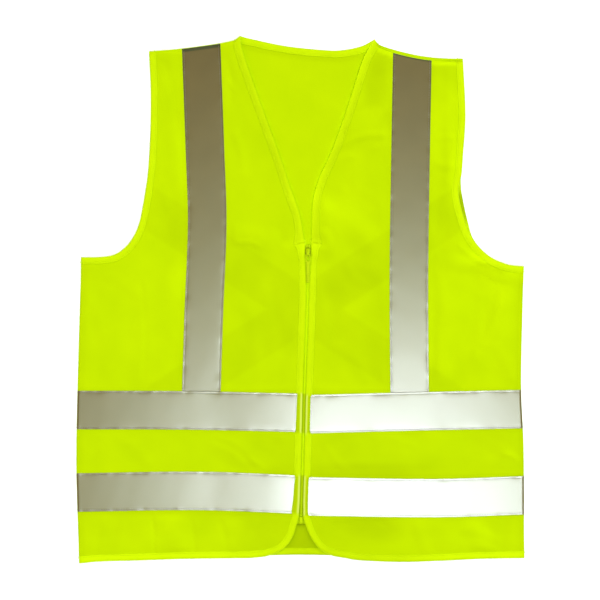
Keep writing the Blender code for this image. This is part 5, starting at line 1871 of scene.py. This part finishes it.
def add_pull():
    x, bar = PULL_AXIS[0], PULL_AXIS[1] + PULL_THICK / 2
    end = bar - PULL_LENGTH
    eye_half, eye_foot = PULL_EYE[0] / 2, bar - PULL_EYE[1]
    half = [(0.9, end), (1.6, end + 0.35), (2.05, end + 1.1), (2.2, end + 2.4), (2.2, eye_foot - 4.4),
            (2.5, eye_foot - 2.6), (3.1, eye_foot - 0.6), (3.3, eye_foot + 1.6), (3.3, bar - 0.5),
            (3.0, bar - 0.1), (2.2, bar + 0.1)]
    outline = mirrored(half) + np.array([x, 0.0])
    hole = np.vstack([arc((x, eye_foot + eye_half), eye_half, 0, -180, 9),
                      arc((x - 0.5, bar - 2.1), 1.2, 180, 90, 5), arc((x + 0.5, bar - 2.1), 1.2, 90, 0, 5)])
    low, high = PULL_AXIS[2] - PULL_THICK / 2, PULL_AXIS[2] + PULL_THICK / 2
    parts = [(*plate([outline, hole], rounded_rows(low, high, 0.28)), 0.82)]
    for number in range(GRIPS):
        grip_end = end + 2.6 + GRIP_STEP * number
        grip = block(x - 1.45, x + 1.45, grip_end, grip_end + 1.1, high - 0.2, high + 0.22, 0.14, 0.4)
        parts.append((*grip, 0.74))
    points, faces, tones = gathered(parts)
    return add_piece("pull", points, faces, PAINT_FINISH, "zip_pull", "pull", {"tone": tones})


PULL = add_pull()
print("pull:", len(PULL.data.polygons), "faces, on the body pull")

# %% [markdown]
# ## Stops and box
# Two small stops end the coil above the slider, one on each side. At the foot the zip's pin goes into a
# box, which is a moulded block with a slightly raised middle.

# %% Stops and box


def add_stops():
    y = SLIDER_HEAD + 0.3
    for side_name, side in SIDES.items():
        x = float(zip_x(ZIP_Y[0])) + side * 1.5
        points, faces = block(x - 1.0, x + 1.0, y, y + 4.0, CHAIN_LEVEL, 5.2, 0.3, 0.6)
        add_piece("stop_" + side_name, points, faces, PAINT_FINISH, "zip_stop_" + side_name,
                  attributes={"tone": [0.85] * len(points)})


def add_box():
    x = float(zip_x(ZIP_Y[-1]))
    low_y, high_y = CHAIN_ROWS[1] - 9.3, CHAIN_ROWS[1] - 0.3
    parts = [(*block(x - 2.4, x + 2.4, low_y, high_y, CHAIN_LEVEL, 5.6, 0.45, 0.9), 0.74),
             (*block(x - 1.5, x + 1.5, low_y + 2.0, high_y - 0.8, 5.4, 5.85, 0.2, 0.6), 0.8)]
    points, faces, tones = gathered(parts)
    return add_piece("box", points, faces, COIL_FINISH, "zip_box", attributes={"tone": tones})


add_stops()
print("box:", len(add_box().data.polygons), "faces")

# %% [markdown]
# ## How big each panel was cut
# Each panel's cut width, length and area are printed. The flat area comes from the pattern itself, as the
# sum of its triangles.

# %% Sheets


def sheet_of(node):
    """The panel that a binding or tape is sewn to."""
    if "back" in node:
        return "back"
    return "right" if node.endswith("right") else "left"


def declare_sheets():
    for name, panel in PANELS.items():
        width, length, area = CUTS[panel.name.removeprefix("cloth_")]
        with_pieces = [made for node, made in {**BINDINGS, **TAPES}.items() if sheet_of(node) == name]
        rests = [] if name == "back" else [PANELS["back"].name]
        print(panel.name, "cut", round(width / MM), "by", round(length / MM), "mm,", round(area, 4), "m2")


declare_sheets()

# %% [markdown]
# ## Camera, floor and light
# The vest is lit softly from above, and the camera looks straight down on it. One soft lamp hangs almost
# over the camera, a little towards the hem on the wearer's left: the tapes mirror it there. Two broad
# lamps at the collar end, the stronger on the wearer's left, draw out the relief without hard shadows, a
# weak warm one and an even sky fill the rest, and the floor glows slightly, as a light table does, so
# that it stays white under the thin shadows.

# %% Stage
CAMERA_HEIGHT = 3.0
FRAME_WIDTH = 0.7786
SENSOR = 36.0
FLOOR_HALF = 20.0
FLOOR_LEVEL = -0.0002
SKY = ((1.0, 1.0, 0.75, 1.0), 0.15)
LAMPS = [
    # name, place, size, power, colour
    ("key", (0.196, -0.58, 3.0), 0.7, 57.0, (0.94, 1.0, 1.3)),
    ("high_side", (2.5, 2.3, 2.6), 3.0, 86.0, (1.0, 1.0, 0.78)),
    ("far_side", (-2.4, 1.9, 2.6), 2.6, 36.0, (1.0, 1.0, 0.78)),
    ("warm_side", (-2.1, -0.4, 1.5), 1.6, 10.0, (1.0, 0.84, 0.6)),
]


def add_camera():
    data = bpy.data.cameras.new("camera")
    data.sensor_width = SENSOR
    data.lens = SENSOR * (CAMERA_HEIGHT - 0.004) / FRAME_WIDTH  # sharp at the height of the fronts
    made = add_object("camera", data)
    made.location = (-0.00065, -0.0002, CAMERA_HEIGHT)
    bpy.context.scene.camera = made
    return made


def add_lamp(name, place, size, power, colour):
    data = bpy.data.lights.new(name, "AREA")
    data.shape = "SQUARE"
    data.size = size
    data.energy = power
    data.color = colour
    made = add_object(name, data)
    made.location = place
    made.rotation_mode = "QUATERNION"
    made.rotation_quaternion = made.location.to_track_quat("Z", "Y")
    return made


def add_floor():
    mesh = bpy.data.meshes.new("floor")
    signs = ((-1, -1), (1, -1), (1, 1), (-1, 1))
    corners = [(x * FLOOR_HALF, y * FLOOR_HALF, FLOOR_LEVEL) for x, y in signs]
    mesh.from_pydata(corners, [], [(0, 1, 2, 3)])
    finish, _, _ = new_material("pale_floor", Roughness=0.9, Specular_IOR_Level=0.0, Emission_Strength=0.3,
                                Base_Color=(0.93, 0.93, 0.93, 1.0), Emission_Color=(1.0, 1.0, 1.0, 1.0))
    mesh.materials.append(finish)
    made = add_object("floor", mesh)
    return made


def set_sky(colour, strength):
    world = bpy.data.worlds.new("sky")
    world.use_nodes = True
    background = world.node_tree.nodes["Background"]
    background.inputs["Color"].default_value = colour
    background.inputs["Strength"].default_value = strength
    bpy.context.scene.world = world


add_camera()
add_floor()
set_sky(*SKY)
for lamp in LAMPS:
    add_lamp(*lamp)
bpy.context.scene.view_settings.view_transform = "Standard"
print("camera at", tuple(round(value, 4) for value in bpy.context.scene.camera.location))
